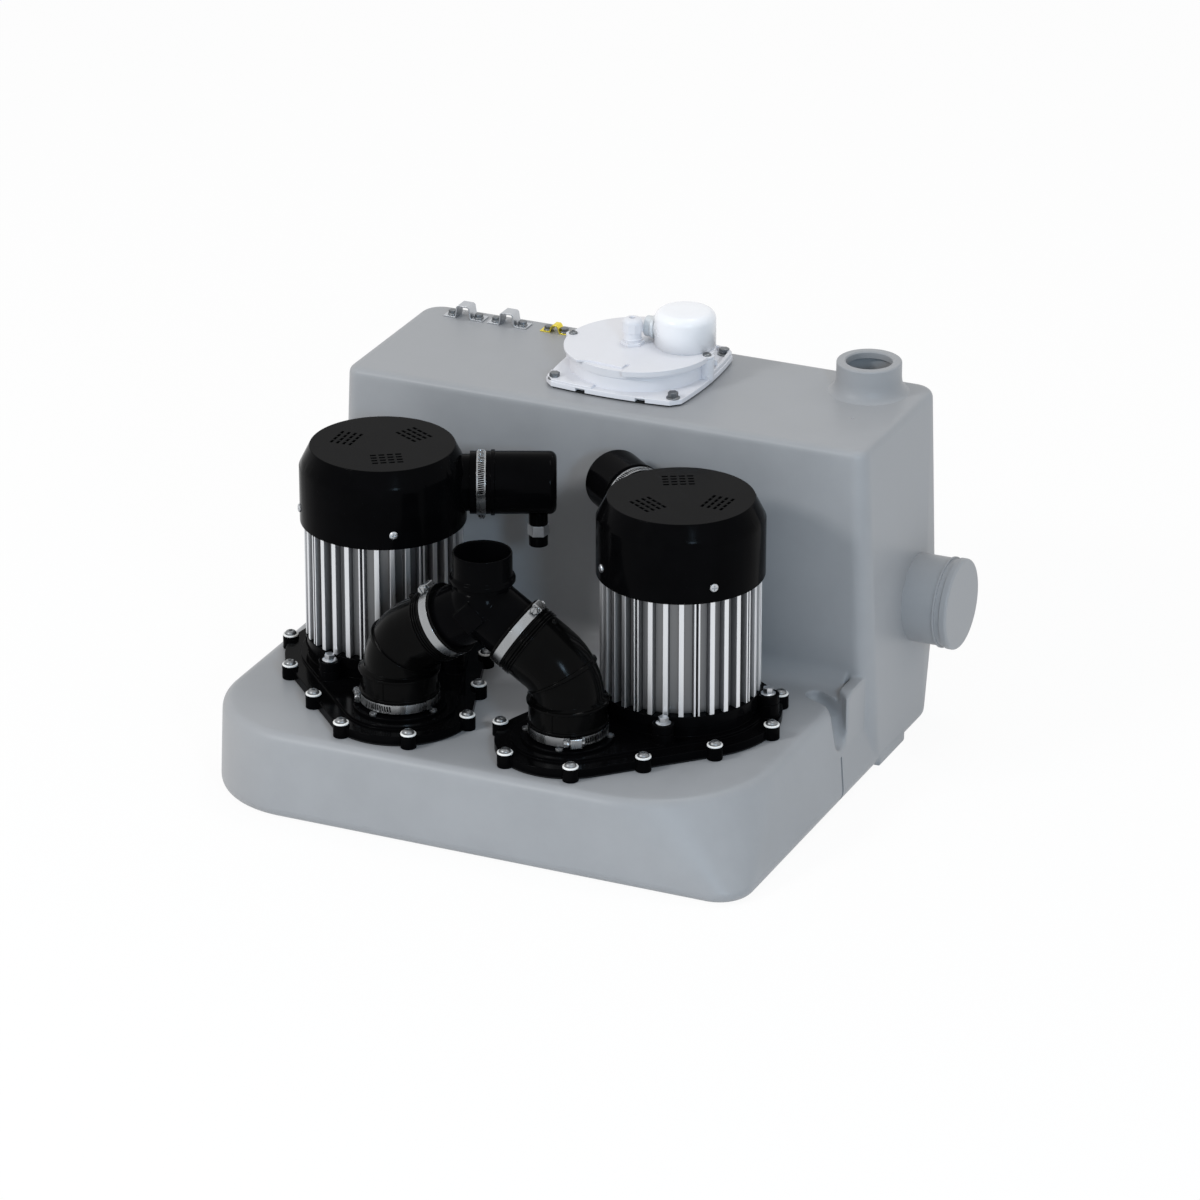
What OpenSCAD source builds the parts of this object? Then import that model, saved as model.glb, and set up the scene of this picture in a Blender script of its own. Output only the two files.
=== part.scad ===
// Grey water lifting station. A moulded tank has a low deck at the front and a tower at the
// back. Two vertical pumps stand on the deck, side by side, and push the water through a
// non-return flap each, two rubber bends and a Y-piece to one discharge port.
// The origin is on the floor, midway between the pumps. X runs to the right, Y to the back.

/* [Tank] */
// Height of the low deck that carries the pumps
deck_height = 98; // [90:1:115]
// Depth of the deck in front of the line of the pumps
deck_front = 217; // [212:1:260]
// Reach of the deck to the left of the middle
deck_left = 306; // [300:1:340]
// Reach of the deck to the right of the middle, at its top
deck_right = 317; // [310:1:340]
// Radius of the front left corner of the deck
deck_corner_left = 116; // [60:1:130]
// Radius of the front right corner of the deck, at its top
deck_corner_right = 140; // [60:1:150]
// Radius of the rounded top edge of the deck
deck_fillet = 12.5; // [6:0.5:18]
// How much further the right wall stands out at the floor
foot_flare = 20; // [5:1:25]
// Radius of the front right corner at the floor
foot_corner = 40; // [20:1:80]
// Distance from the line of the pumps to the back edge on the floor
heel_back = 318; // [300:1:335]
// Height of the tower
tower_height = 369; // [365:1:430]
// Distance from the line of the pumps to the front of the tower
tower_front = 144; // [143:1:160]
// Distance from the line of the pumps to the back of the tower
tower_back = 361; // [355:1:400]
// Reach of the tower to the left of the middle
tower_left = 290; // [280:1:300]
// Reach of the tower to the right of the middle
tower_right = 322.5; // [310:0.5:330]
// How far the tower widens from its top to its waist
tower_draft = 7; // [2:1:10]
// Height of the waist, below which the back draws in
waist_height = 125; // [115:1:150]
// Height at which the tower's own walls end
skirt_height = 45; // [30:1:60]
// Radius of the front corners of the tower
tower_corner = 16; // [10:1:30]
// Radius of the back corners of the tower
tower_back_corner = 25; // [12:1:40]
// Radius of the rounded top edge of the tower
tower_fillet = 8; // [4:1:9]
// Radius of the hollow where the tower rises from the deck
cove_radius = 24; // [10:1:24]
// Thickness of the moulded wall
tank_wall = 5; // [4:0.5:7]
// Width of the shoulder at the foot of the tower's front right corner
shoulder_width = 16; // [12:1:30]
// How far the shoulder stands out in front of the tower
shoulder_depth = 49; // [40:1:52]
// How far the shoulder runs up above the deck
shoulder_rise = 42; // [30:1:60]
// Radius of the channel that parts the shoulder from the deck
channel_r = 10; // [7:0.5:11]
// Height of the floor of the channel where it leaves the right wall
channel_floor = 55; // [50:1:70]
// Width of the slit from the channel down to the floor
slit_width = 5; // [3:0.5:6]
// How far the slit leans forward on its way down
slit_lean = 20; // [10:1:24]
// Length of the foot under the right wall
foot_length = 73; // [30:1:80]
// Height of the foot under the right wall
foot_height = 11; // [8:1:14]

/* [Tank connections] */
// Diameter of the closed side spigot
side_spigot_d = 97; // [80:1:110]
// Diameter of the ring and the end rim on the side spigot
side_ring_d = 100.6; // [84:0.1:118]
// Length of the side spigot outside the wall
side_spigot_length = 55.5; // [35:0.5:80]
// Distance of the side spigot behind the line of the pumps
side_spigot_y = 285.5; // [240:0.5:290]
// Height of the axis of the side spigot
side_spigot_z = 150.5; // [130:0.5:200]
// Outside diameter of the open top spigot
top_spigot_d = 71.2; // [60:0.1:76]
// Bore of the open top spigot
top_spigot_bore = 50.4; // [40:0.1:54]
// Height of the top spigot above the tower
top_spigot_height = 35; // [20:1:60]
// Place of the top spigot to the right of the middle
top_spigot_x = 257.5; // [225:0.5:262]
// Place of the top spigot behind the line of the pumps
top_spigot_y = 316; // [290:0.5:318]

/* [Pumps] */
// Distance between the axes of the two motors
pump_spacing = 347.6; // [344:0.2:356]
// Angle by which each outlet is turned in towards the middle
pump_turn = 32.2; // [30:0.1:34]
// Distance from the motor axis to the outlet of the pump
outlet_reach = 142.3; // [138:0.1:146]
// Radius of the pump plate round the motor
plate_r = 109; // [106:0.5:111]
// Radius of the pump plate round the outlet
plate_outlet_r = 77.7; // [70:0.1:80]
// Thickness of the rim of the pump plate
plate_rim = 9.5; // [7:0.5:12]
// How far the bolt bosses stand above the rim
boss_rise = 3.5; // [1:0.5:5]
// Radius of the bolt bosses
boss_r = 8.7; // [7.5:0.1:10]
// Thickness of the flat gasket under the pump plate
gasket_thickness = 2; // [1:0.5:4]
// Height of the pedestal under the motor, above the bosses
pedestal_height = 11; // [8:1:20]
// Outer radius of the pedestal
pedestal_r = 84; // [78:1:88]
// Radius of the circle of the motor bolts
motor_bolt_circle = 94.6; // [92:0.1:97]
// Radius of the lugs that take the motor bolts
lug_r = 12; // [9:0.5:13]
// Shank diameter of the bolts of the pump plate
plate_bolt_d = 7; // [5:0.5:8]
// Shank diameter of the motor bolts
motor_bolt_d = 6; // [5:0.5:8]

/* [Pump hydraulics] */
// Outer radius of the pump casing
casing_r = 62; // [58:1:66]
// Thickness of the walls of the pump casing
casing_wall = 6; // [4:0.5:8]
// Depth of the pump casing below the deck
casing_depth = 58; // [52:1:64]
// Radius of the inlet eye
eye_r = 22; // [16:1:26]
// Width of the duct from the casing to the outlet, inside
duct_width = 32; // [24:1:38]
// Radius of the impeller
impeller_r = 50; // [42:1:53]
// Height of the impeller vanes
vane_height = 20; // [12:1:22]
// Thickness of the impeller vanes
vane_thickness = 4; // [2.5:0.5:6]
// Number of impeller vanes
vane_count = 6; // [4:1:8]
// Diameter of the motor shaft
shaft_d = 16; // [12:0.5:18]
// Bore of the seat under the non-return flap
seat_r = 21; // [16:0.5:22]
// Radius of the non-return flap
flap_r = 24; // [23:0.5:24]
// Thickness of the non-return flap
flap_thickness = 3.5; // [2.5:0.5:4]
// Distance from the middle of the outlet to the hinge of the flap
flap_hinge_offset = 27.9; // [27.5:0.1:28.2]
// Diameter of the hinge pin of the flap
flap_pin_d = 4; // [3:0.5:4.5]

/* [Motor] */
// Radius over the cooling fins
fin_r = 85.5; // [82:0.5:87]
// Radius at the roots of the fins
fin_root_r = 76; // [74:0.5:79]
// Width of a plain fin
fin_width = 5.5; // [3:0.5:7]
// Number of fin places round the motor, every fourth of them a screw channel
fin_count = 32; // [24:8:40]
// Width of the slot in a screw channel
channel_slot = 2.5; // [1.5:0.5:4]
// Thickness of the two walls of a screw channel
channel_wall = 2; // [1.5:0.5:3]
// Bore of the motor body
motor_bore = 140; // [136:1:144]
// Height of the motor body
motor_height = 155.5; // [150:0.5:175]
// Thickness of the lower bearing bracket
bracket_thickness = 12.5; // [11:0.5:16]
// Height of the stator stack
stator_height = 80; // [60:1:90]
// Inner radius of the stator
stator_bore_r = 42; // [36:1:46]
// Gap between the rotor core and the stator
air_gap = 0.6; // [0.4:0.1:1]
// Outer diameter of the motor bearings
bearing_d = 35; // [32:1:40]
// Width of the motor bearings
bearing_width = 10; // [8:1:10]

/* [Fan and fan cover] */
// Radius of the fan cover
cover_r = 89.6; // [89:0.1:92]
// Wall thickness of the fan cover
cover_wall = 3.8; // [2.5:0.1:4]
// How far the cover reaches down over the fins
cover_overlap = 25; // [20:1:40]
// Height of the straight part of the fan cover
cover_straight = 62; // [56:1:70]
// Height of the sloping part of the fan cover
cover_slope = 23.5; // [15:0.5:30]
// Radius of the flat top of the fan cover
cover_top_r = 78; // [72:0.5:82]
// Length of a vent slot
slot_length = 6; // [4:0.5:9]
// Width of a vent slot
slot_width = 2.5; // [1.5:0.5:3.5]
// Distance between neighbouring vent slots
slot_pitch = 9; // [8:0.5:11]
// Radius of the circle of the three groups of vent slots
slot_circle = 42; // [36:1:46]
// Radius of the fan
fan_r = 70; // [60:1:76]
// Height of the fan
fan_height = 22; // [15:1:26]
// Number of fan blades
blade_count = 9; // [5:1:12]
// Direction of the cover screw that faces the front, left pump
screw_angle_left = -57; // [-65:1:-50]
// Direction of the cover screw that faces the front, right pump
screw_angle_right = -44; // [-50:1:-35]

/* [Capacitor housings] */
// Direction of the left housing, seen from above
cap_angle_left = 24; // [18:1:28]
// Direction of the right housing, seen from above
cap_angle_right = 139; // [137:1:144]
// Height of the housings' axis above the floor
cap_height = 308; // [304:1:312]
// Outer radius of a housing
cap_r = 34; // [32:0.5:36]
// Wall thickness of a housing
cap_wall = 3; // [2:0.5:4]
// Distance from the motor axis to the open end of a housing
cap_start = 93; // [92.5:0.5:96]
// Length of a housing
cap_length = 79; // [75:1:82]
// Length by which the left housing is longer than the right one
cap_extra_left = 14; // [0:1:16]
// Radius of the rounded end of a housing
cap_round = 8; // [4:1:12]
// Radius of the capacitor inside
can_r = 25; // [18:0.5:27]
// Radius of the cable gland under a housing
gland_r = 10.3; // [8:0.1:12]
// How far the cable gland reaches down from the housing
gland_drop = 38; // [25:1:45]

/* [Discharge pipework] */
// Outer radius of the outlet spigot
spigot_r = 37; // [35:0.5:39]
// Bore radius of the outlet spigot
spigot_bore_r = 32; // [31.5:0.5:33]
// Radius of the outlet flange
flange_r = 50; // [48:1:54]
// Thickness of the outlet flange
flange_thickness = 3; // [2:0.5:5]
// Wall thickness of the rubber bend
rubber_wall = 4.5; // [3.5:0.5:5.5]
// Height of the straight lower sleeve of the bend
sleeve_height = 40; // [34:1:46]
// Radius of the centre line of the bend
bend_radius = 50; // [46:1:54]
// Angle of the bend
bend_angle = 57; // [50:1:62]
// Outer radius of the arms of the Y-piece
arm_r = 34; // [32:0.5:35]
// Length of an arm of the Y-piece that shows between the sleeve and the ball
arm_neck = 5.2; // [2:0.1:8]
// Length of an arm that is pushed into the sleeve
arm_push = 16.3; // [12:0.1:20]
// Wall thickness of the Y-piece
pipe_wall = 4; // [2.5:0.5:5]
// Outer radius of the discharge port
port_r = 31.8; // [28:0.1:33]
// Height of the discharge port above the middle of the Y-piece
port_height = 59; // [48:1:80]
// Width of a hose clamp band
clamp_width = 10; // [7:0.5:12]
// Thickness of a hose clamp band
clamp_thickness = 1.2; // [0.8:0.1:2]

/* [Access hatch] */
// Place of the hatch to the right of the middle
hatch_x = 11; // [0:1:20]
// Place of the hatch behind the line of the pumps
hatch_y = 261; // [250:1:268]
// Side of the square hatch base
hatch_size = 160; // [156:1:168]
// How far the corners of the hatch base are cut back
hatch_corner = 10; // [6:1:14]
// How far the sides of the hatch base bow out between the corners
hatch_bow = 5; // [2:0.5:8]
// Thickness of the hatch base
hatch_thickness = 6; // [4:0.5:9]
// Distance of the base's bolts from its middle lines
hatch_bolt_offset = 70; // [68:0.5:71]
// Outer radius of the collar
collar_r = 76; // [72:0.5:78]
// Height of the collar above the base
collar_height = 15; // [10:1:20]
// Radius of the opening
hatch_opening_r = 62; // [55:1:66]
// Radius of the lid
lid_r = 83; // [80:0.5:86]
// Thickness of the lid
lid_thickness = 9; // [6:0.5:12]
// Radius of the lid's screw ears
ear_r = 9; // [7:0.5:11]
// Diameter of the small screws
small_screw_d = 5; // [4:0.5:5.5]
// Radius of the vent dome
dome_r = 33.6; // [28:0.2:33.8]
// Height of the vent dome above the lid
dome_height = 40.5; // [34:0.5:44]
// Radius of the rounded top edge of the vent dome
dome_round = 10; // [4:1:12]
// Radius of the vent spigot
vent_r = 11.5; // [9:0.5:12]
// Radius of the cable gland in the lid
lid_gland_r = 11.6; // [9:0.1:13]
// Height of the cable gland in the lid
lid_gland_height = 31; // [22:1:40]
// Radius of the level sensing tubes
level_tube_r = 8; // [5:0.5:10]
// Clearance of the level sensing tubes above the tank floor
level_tube_clearance = 35; // [20:5:80]

/* [Clips] */
// Width of a clip
clip_width = 12; // [8:1:16]
// Thickness of the clip metal
clip_thickness = 1.5; // [1:0.5:2.5]
// Distance between the two screws of a cable clip
clip_span = 32; // [29:1:36]
// Width of the hump of a cable clip
clip_hump = 15; // [12:1:16]
// Height of the hump of a cable clip
clip_rise = 14; // [9:1:20]
// Place of the clips behind the line of the pumps
clip_y = 335; // [320:1:340]

/* [Hidden] */
$fn = 64;

LEFT = -1;
RIGHT = 1;
SIDES = [LEFT, RIGHT];
// Play between pieces that are pushed together
fit = 0.1;
// Play of a shaft or pin that turns
running_fit = 0.05;
// Play of a screw in its hole
screw_play = 0.1;
// Overlap that makes cuts pass right through
cut = 1;
// How far one length of tube runs into the next
lap = 0.5;

// Height of the head of an outlet screw
screw_head = 2.2;
// Heights of the pump stack, from the deck up
plate_bottom = deck_height + gasket_thickness;
rim_top = plate_bottom + plate_rim;
boss_top = rim_top + boss_rise;
bracket_bottom = boss_top + pedestal_height;
motor_bottom = bracket_bottom + bracket_thickness;
motor_top = motor_bottom + motor_height;
shaft_r = shaft_d / 2;
seal_r = shaft_r + 8;
// Thickness of the washers under the plate bolts
washer = 1.3;
bearing_r = bearing_d / 2;
bearing_low = bracket_bottom + 1;
shield_bottom = motor_top - 22;
shield_thickness = 14;
bearing_high = shield_bottom + 2;
stator_bottom = motor_bottom + 28;
casing_bottom = deck_height - casing_depth;
shaft_bottom = casing_bottom + 12;

// Fan cover, from the motor up
cover_bottom = motor_top - cover_overlap;
cover_shoulder = cover_bottom + cover_straight;
cover_top = cover_shoulder + cover_slope;
cover_screw_z = cover_bottom + 17;
fan_bottom = motor_top + 4;
shaft_top = fan_bottom + fan_height;

// Outlets and pipework
outlet_x = pump_spacing / 2 - outlet_reach * sin(pump_turn);
outlet_y = -outlet_reach * cos(pump_turn);
flange_top = boss_top + flange_thickness;
seat_top = flange_top;
sleeve_top = flange_top + sleeve_height;
sleeve_bottom = flange_top + screw_head + 0.3;
bend_x = outlet_x - bend_radius;
bend_end = [bend_x + bend_radius * cos(bend_angle), sleeve_top + bend_radius * sin(bend_angle)];
wye_ball_r = arm_r + 2.5;
arm_show = wye_ball_r + arm_neck;
arm_length = arm_show + arm_push;
wye_z = bend_end[1] + bend_end[0] / tan(bend_angle);
wye_reach = bend_end[0] / sin(bend_angle);
port_top = wye_z + port_height;
sleeve_r = spigot_r + fit + rubber_wall;
cuff_r = arm_r + fit + rubber_wall;

// Hatch, from the tower up
hatch_bottom = tower_height + gasket_thickness;
hatch_top = hatch_bottom + hatch_thickness;
collar_top = hatch_top + collar_height;
lid_bottom = collar_top + 1.5;
lid_top = lid_bottom + lid_thickness;
dome_at = [hatch_x + 45.2, hatch_y + 19.5];
lid_gland_at = [hatch_x - 8.3, hatch_y - 1];
ear_circle = lid_r - 3.5;

// A point at a radius, moved sideways from the direction a
function beside(r, off, a) = let (h = asin(off / r)) [r * cos(a + h), r * sin(a + h)];

// Points along an arc
function arc(c, r, a0, a1, n) =
    [for (i = [0:n]) let (a = a0 + (a1 - a0) * i / n) [c[0] + r * cos(a), c[1] + r * sin(a)]];

// The pear-shaped outline round the motor and the outlet, with the outlet on +X
function pear(r1, r2) =
    let (a = acos((r1 - r2) / outlet_reach))
    concat(arc([0, 0], r1, a, 360 - a, 48), arc([outlet_reach, 0], r2, -a, a, 32));

// A square about the middle with cut corners and sides that bow out
function bowed(size, bow, cut_back) =
    let (half = size / 2 - cut_back, r = (half * half + bow * bow) / (2 * bow), n = 8)
    [for (q = [0:90:270], k = [-n:n]) let (a = asin(half / r) * k / n,
        x = size / 2 + bow - r + r * cos(a), y = r * sin(a))
        [x * cos(q) - y * sin(q), x * sin(q) + y * cos(q)]];

// Centres of the bolts of one pump plate, on a line just outside its rim
bolt_line = plate_r + 1;
bolt_line_outlet = plate_outlet_r + 1;
tangent_angle = acos((plate_r - plate_outlet_r) / outlet_reach);
tangent_length = outlet_reach * sin(tangent_angle);
plate_bolt_points = concat(
    [for (a = [-58.5, 0, 58.5])
        [outlet_reach + bolt_line_outlet * cos(a), bolt_line_outlet * sin(a)]],
    [for (s = SIDES)
        [bolt_line * cos(tangent_angle) + 0.61 * tangent_length * sin(tangent_angle),
         s * (bolt_line * sin(tangent_angle) - 0.61 * tangent_length * cos(tangent_angle))]],
    [for (s = SIDES, a = [75, 117, 159]) [bolt_line * cos(a), s * bolt_line * sin(a)]]);

// Places a shape on the axis of one motor, with +X towards its outlet
module at_pump(side) {
    translate([side * pump_spacing / 2, 0, 0]) rotate(-90 - side * pump_turn) children();
}

// Repeats a shape at the bolts of the pump plate
module at_plate_bolts() {
    for (p = plate_bolt_points) translate(p) children();
}

// Repeats a shape at the four motor bolts
module at_motor_bolts() {
    for (a = [45:90:315]) rotate(a) translate([motor_bolt_circle, 0, 0]) children();
}

// Places a shape on the axis of one outlet, with +X away from the other pump
module at_outlet(side) {
    translate([side * outlet_x, outlet_y, 0]) rotate(side == LEFT ? 180 : 0) children();
}

// Draws a shape made for the right side, mirrored for the left
module for_side(side) {
    if (side == LEFT) mirror([1, 0, 0]) children();
    else children();
}

// Places a shape with its +Z along one capacitor housing and its +X straight down
module at_cap(side) {
    translate([side * pump_spacing / 2, 0, cap_height])
        rotate(side == LEFT ? cap_angle_left : cap_angle_right)
        rotate([0, 90, 0]) children();
}

// A tube
module ring(r_out, r_in, z0, z1) {
    translate([0, 0, z0]) difference() {
        cylinder(r = r_out, h = z1 - z0);
        translate([0, 0, -cut]) cylinder(r = r_in, h = z1 - z0 + 2 * cut);
    }
}

// A plain round bar
module bar(r, z0, z1) {
    translate([0, 0, z0]) cylinder(r = r, h = z1 - z0);
}

// A corner of a moulded shell: a disc whose rim is rounded at the top (s = 1) or bottom (-1)
module rim_disc(r, f, s, n) {
    rotate_extrude($fn = n)
        polygon(concat([[0, 0]], [for (k = [0:5])
            let (a = 18 * k) [r - f + f * cos(a), s * f * sin(a)]], [[0, s * f]]));
}

// The four corners of an outline [left, right, front, back, three corner radii], drawn in
module corners(o, z, f, s, i, n) {
    for (c = [[o[0], o[2], 1, 1, o[4]], [o[1], o[2], -1, 1, o[5]],
              [o[1], o[3], -1, -1, o[6]], [o[0], o[3], 1, -1, o[6]]])
        translate([c[0] + c[2] * c[4], c[1] + c[3] * c[4], z - s * f])
            rim_disc(c[4] - i, f, s, n);
}

// The low part of the tank, i inside its outer face
module deck_body(i, n) {
    f = max(deck_fillet - i, 3);
    back = heel_back + 16;
    hull() {
        corners([-deck_left, deck_right, -deck_front, back, deck_corner_left,
            deck_corner_right, tower_back_corner], deck_height - i, f, 1, i, n);
        corners([-deck_left + 3, deck_right + foot_flare, -deck_front - 3, heel_back,
            deck_corner_left - 12, foot_corner, tower_back_corner], i, f, -1, i, n);
    }
}

// The tower of the tank, i inside its outer face
module tower_body(i, n) {
    f = max(tower_fillet - i, 2);
    wide = [-tower_left - tower_draft, tower_right + tower_draft, tower_front - 3,
        tower_back + 2, tower_corner, tower_corner, tower_back_corner];
    skirt = [wide[0], wide[1], wide[2], heel_back + 8, wide[4], wide[5], wide[6]];
    hull() {
        corners([-tower_left, tower_right, tower_front, tower_back, tower_corner,
            tower_corner, tower_back_corner], tower_height - i, f, 1, i, n);
        corners(wide, waist_height, 1, -1, i, n);
        corners(skirt, skirt_height + i, 1, -1, i, n);
    }
}

// The hollow fillet between the deck and the tower
module cove() {
    y = tower_front - 3;
    r = cove_radius;
    w = tower_left + tower_right - 30;
    translate([15 - tower_left, 0, 0]) rotate([90, 0, 90]) linear_extrude(w)
        polygon(concat([[y + tank_wall / 2, deck_height - 2], [y - r, deck_height - 2]],
            arc([y - r, deck_height + r], r, -90, 0, 8),
            [[y + tank_wall / 2, deck_height + r]]));
}

// The wedge-shaped shoulder at the tower's front right corner
module shoulder() {
    y = tower_front - 3;
    x = tower_right + tower_draft - 1;
    translate([x - shoulder_width, 0, 0]) rotate([90, 0, 90]) linear_extrude(shoulder_width)
        polygon([[y + tower_corner, skirt_height], [y - shoulder_depth, skirt_height],
            [y - shoulder_depth, deck_height + shoulder_rise * 0.43],
            [y - shoulder_depth / 2, deck_height + shoulder_rise * 0.8],
            [y, deck_height + shoulder_rise],
            [y + tower_corner, deck_height + shoulder_rise]]);
}
// Path of the channel round the shoulder, from the right wall inwards, as [x, y, floor]
channel_y = tower_front - 3 - shoulder_depth - channel_r + 2;
channel_path = [[tower_right + 30, channel_y, channel_floor],
    [tower_right + 4, channel_y, channel_floor + 12], [tower_right - 12, channel_y + 16,
    channel_floor + 31], [tower_right - 39, channel_y + 29, channel_floor + 31]];
slit_y = channel_y - channel_r - slit_width + cut;
// The channel and the slit below it, grown by g. The round ends stand a little proud of the
// straight stretches, so that no two walls only touch.
module channel(g) {
    top = deck_height + shoulder_rise - 4;
    for (i = [0:2]) let (a = channel_path[i], b = channel_path[i + 1], d = b - a) {
        translate([a[0], a[1], a[2] - g]) rotate(atan2(d[1], d[0]))
            translate([0, lap - channel_r - g, 0])
                cube([norm([d[0], d[1]]), 2 * (channel_r + g - lap), top + 2 * g - a[2]]);
        translate([b[0], b[1], a[2] - g]) cylinder(r = channel_r + g, h = top + 2 * g - a[2]);
    }
    translate([tower_right - channel_r - g, 0, 0]) rotate([90, 0, 90])
        linear_extrude(6 * channel_r) polygon([[slit_y - g, channel_floor + cut],
            [slit_y + slit_width + g, channel_floor + cut],
            [slit_y + slit_width - slit_lean + g, -cut], [slit_y - slit_lean - g, -cut]]);
}
// A low foot under the right wall
module foot() {
    reach = deck_right + foot_flare + 1;
    depth = 40;
    translate([reach - depth, tower_front + 21, 0]) cube([depth, foot_length, foot_height]);
}

// The opening in the deck for one pump casing, also used for its gasket
module casing_opening() {
    clear = casing_wall + 2;
    circle(r = casing_r + 2);
    translate([outlet_reach, 0]) circle(r = seat_r + clear);
    translate([0, -duct_width / 2 - clear]) square([outlet_reach, duct_width + 2 * clear]);
}

module side_spigot(x0, x1, r, ring_r) {
    translate([0, side_spigot_y, side_spigot_z]) rotate([0, 90, 0]) rotate_extrude()
        polygon(concat([[0, x0], [r, x0], [r, x1 - 17], [ring_r, x1 - 16],
            [ring_r, x1 - 13], [r, x1 - 12], [r, x1 - 10], [ring_r, x1 - 9]],
            arc([ring_r - 3.5, x1 - 3.5], 3.5, 0, 90, 6), [[0, x1]]));
}

module tank() {
    spigot_x = tower_right + tower_draft - 2;
    spigot_end = spigot_x + side_spigot_length;
    color("#9b9c9d") difference() {
        union() {
            difference() {
                union() {
                    deck_body(0, 48);
                    tower_body(0, 40);
                    cove();
                    shoulder();
                }
                channel(0);
            }
            foot();
            side_spigot(spigot_x - 10, spigot_end, side_spigot_d / 2, side_ring_d / 2);
            translate([top_spigot_x, top_spigot_y, 0])
                bar(top_spigot_d / 2, tower_height - tank_wall, tower_height + top_spigot_height);
            translate([top_spigot_x, top_spigot_y, 0])
                bar(top_spigot_d / 2 + 3.5, tower_height - tank_wall, tower_height + 3);
        }
        difference() {
            union() {
                deck_body(tank_wall, 24);
                tower_body(tank_wall, 24);
            }
            channel(tank_wall);
        }
        translate([0, side_spigot_y, side_spigot_z]) rotate([0, 90, 0])
            bar(side_spigot_d / 2 - tank_wall, spigot_x - 20, spigot_end - tank_wall);
        translate([top_spigot_x, top_spigot_y, 0])
            bar(top_spigot_bore / 2, tower_height - 2 * tank_wall,
                tower_height + top_spigot_height + cut);
        translate([hatch_x, hatch_y, 0])
            bar(hatch_opening_r + 2, tower_height - 2 * tank_wall, tower_height + cut);
        at_hatch_bolts() bar(small_screw_d / 2 + screw_play,
            tower_height - 2 * tank_wall, tower_height + cut);
        at_clip_screws() bar(small_screw_d / 2 + screw_play,
            tower_height - 2 * tank_wall, tower_height + cut);
        for (side = SIDES) at_pump(side) {
            translate([0, 0, deck_height - 2 * tank_wall])
                linear_extrude(2 * tank_wall + cut) casing_opening();
            at_plate_bolts() bar(plate_bolt_d / 2 + screw_play,
                deck_height - 2 * tank_wall, deck_height + cut);
        }
    }
}

module plate_gaskets() {
    color("#2b2b2b") for (side = SIDES) at_pump(side) translate([0, 0, deck_height])
        difference() {
            linear_extrude(gasket_thickness) difference() {
                polygon(pear(plate_r - 1, plate_outlet_r - 1));
                casing_opening();
            }
            at_plate_bolts() bar(boss_r + fit, -cut, gasket_thickness + cut);
        }
}

module pump_plate(side) {
    inset = 2 * boss_r;
    color("#1b1c1e") at_pump(side) difference() {
        union() {
            translate([0, 0, plate_bottom]) linear_extrude(plate_rim)
                polygon(pear(plate_r, plate_outlet_r));
            translate([0, 0, plate_bottom]) linear_extrude(boss_top - plate_bottom)
                polygon(pear(plate_r - inset, plate_outlet_r - inset));
            at_plate_bolts() bar(boss_r, deck_height, boss_top);
            bar(pedestal_r, boss_top - 1, bracket_bottom);
            at_motor_bolts() bar(lug_r, plate_bottom + 1, bracket_bottom);
        }
        bar(pedestal_r - 8, boss_top, bracket_bottom + cut);
        bar(seal_r + fit, plate_bottom - cut, bracket_bottom);
        translate([outlet_reach, 0, 0]) bar(seat_r, plate_bottom - cut, boss_top + cut);
        translate([outlet_reach, 0, 0]) at_outlet_screws()
            bar(small_screw_d / 2 + screw_play, plate_bottom + 3, boss_top + cut);
        at_plate_bolts() bar(plate_bolt_d / 2 + screw_play, deck_height - cut, boss_top + cut);
        at_motor_bolts() bar(motor_bolt_d / 2 + screw_play, plate_bottom + 3,
            bracket_bottom + cut);
    }
}

module plate_washers() {
    color("#ececea") for (side = SIDES) at_pump(side) at_plate_bolts()
        ring(boss_r - 0.4, plate_bolt_d / 2 + screw_play, boss_top, boss_top + washer);
}

module plate_bolts() {
    color("#77797c") for (side = SIDES) at_pump(side) at_plate_bolts() {
        bar(plate_bolt_d / 2, deck_height - tank_wall - 4, boss_top + washer + 1);
        bar(plate_bolt_d * 0.8, boss_top + washer, boss_top + washer + 4);
    }
}

module pump_casing(side) {
    color("#232427") at_pump(side) difference() {
        union() {
            bar(casing_r, casing_bottom, plate_bottom);
            translate([outlet_reach, 0, 0])
                bar(seat_r + casing_wall, casing_bottom + 10, plate_bottom);
            translate([0, -duct_width / 2 - casing_wall, casing_bottom + 10])
                cube([outlet_reach, duct_width + 2 * casing_wall,
                    plate_bottom - casing_bottom - 10]);
        }
        bar(casing_r - casing_wall, casing_bottom + casing_wall, plate_bottom - 3);
        bar(seal_r + 3, casing_bottom + casing_wall, plate_bottom + cut);
        bar(eye_r, casing_bottom - cut, plate_bottom - 10);
        translate([0, -duct_width / 2, casing_bottom + 10 + casing_wall])
            cube([outlet_reach, duct_width, plate_bottom - casing_bottom - 22]);
        translate([outlet_reach, 0, 0])
            bar(seat_r, casing_bottom + 10 + casing_wall, plate_bottom + cut);
    }
}

// One vane, bent back in a spiral, as a strip of even thickness
module vane() {
    n = 10;
    function at(t, w) = let (r = 13 + (impeller_r - 13) * t, a = -55 * t)
        [r * cos(a) - w * sin(a + 35), r * sin(a) + w * cos(a + 35)];
    linear_extrude(vane_height)
        polygon(concat([for (i = [0:n]) at(i / n, vane_thickness / 2)],
            [for (i = [n:-1:0]) at(i / n, -vane_thickness / 2)]));
}

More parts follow.
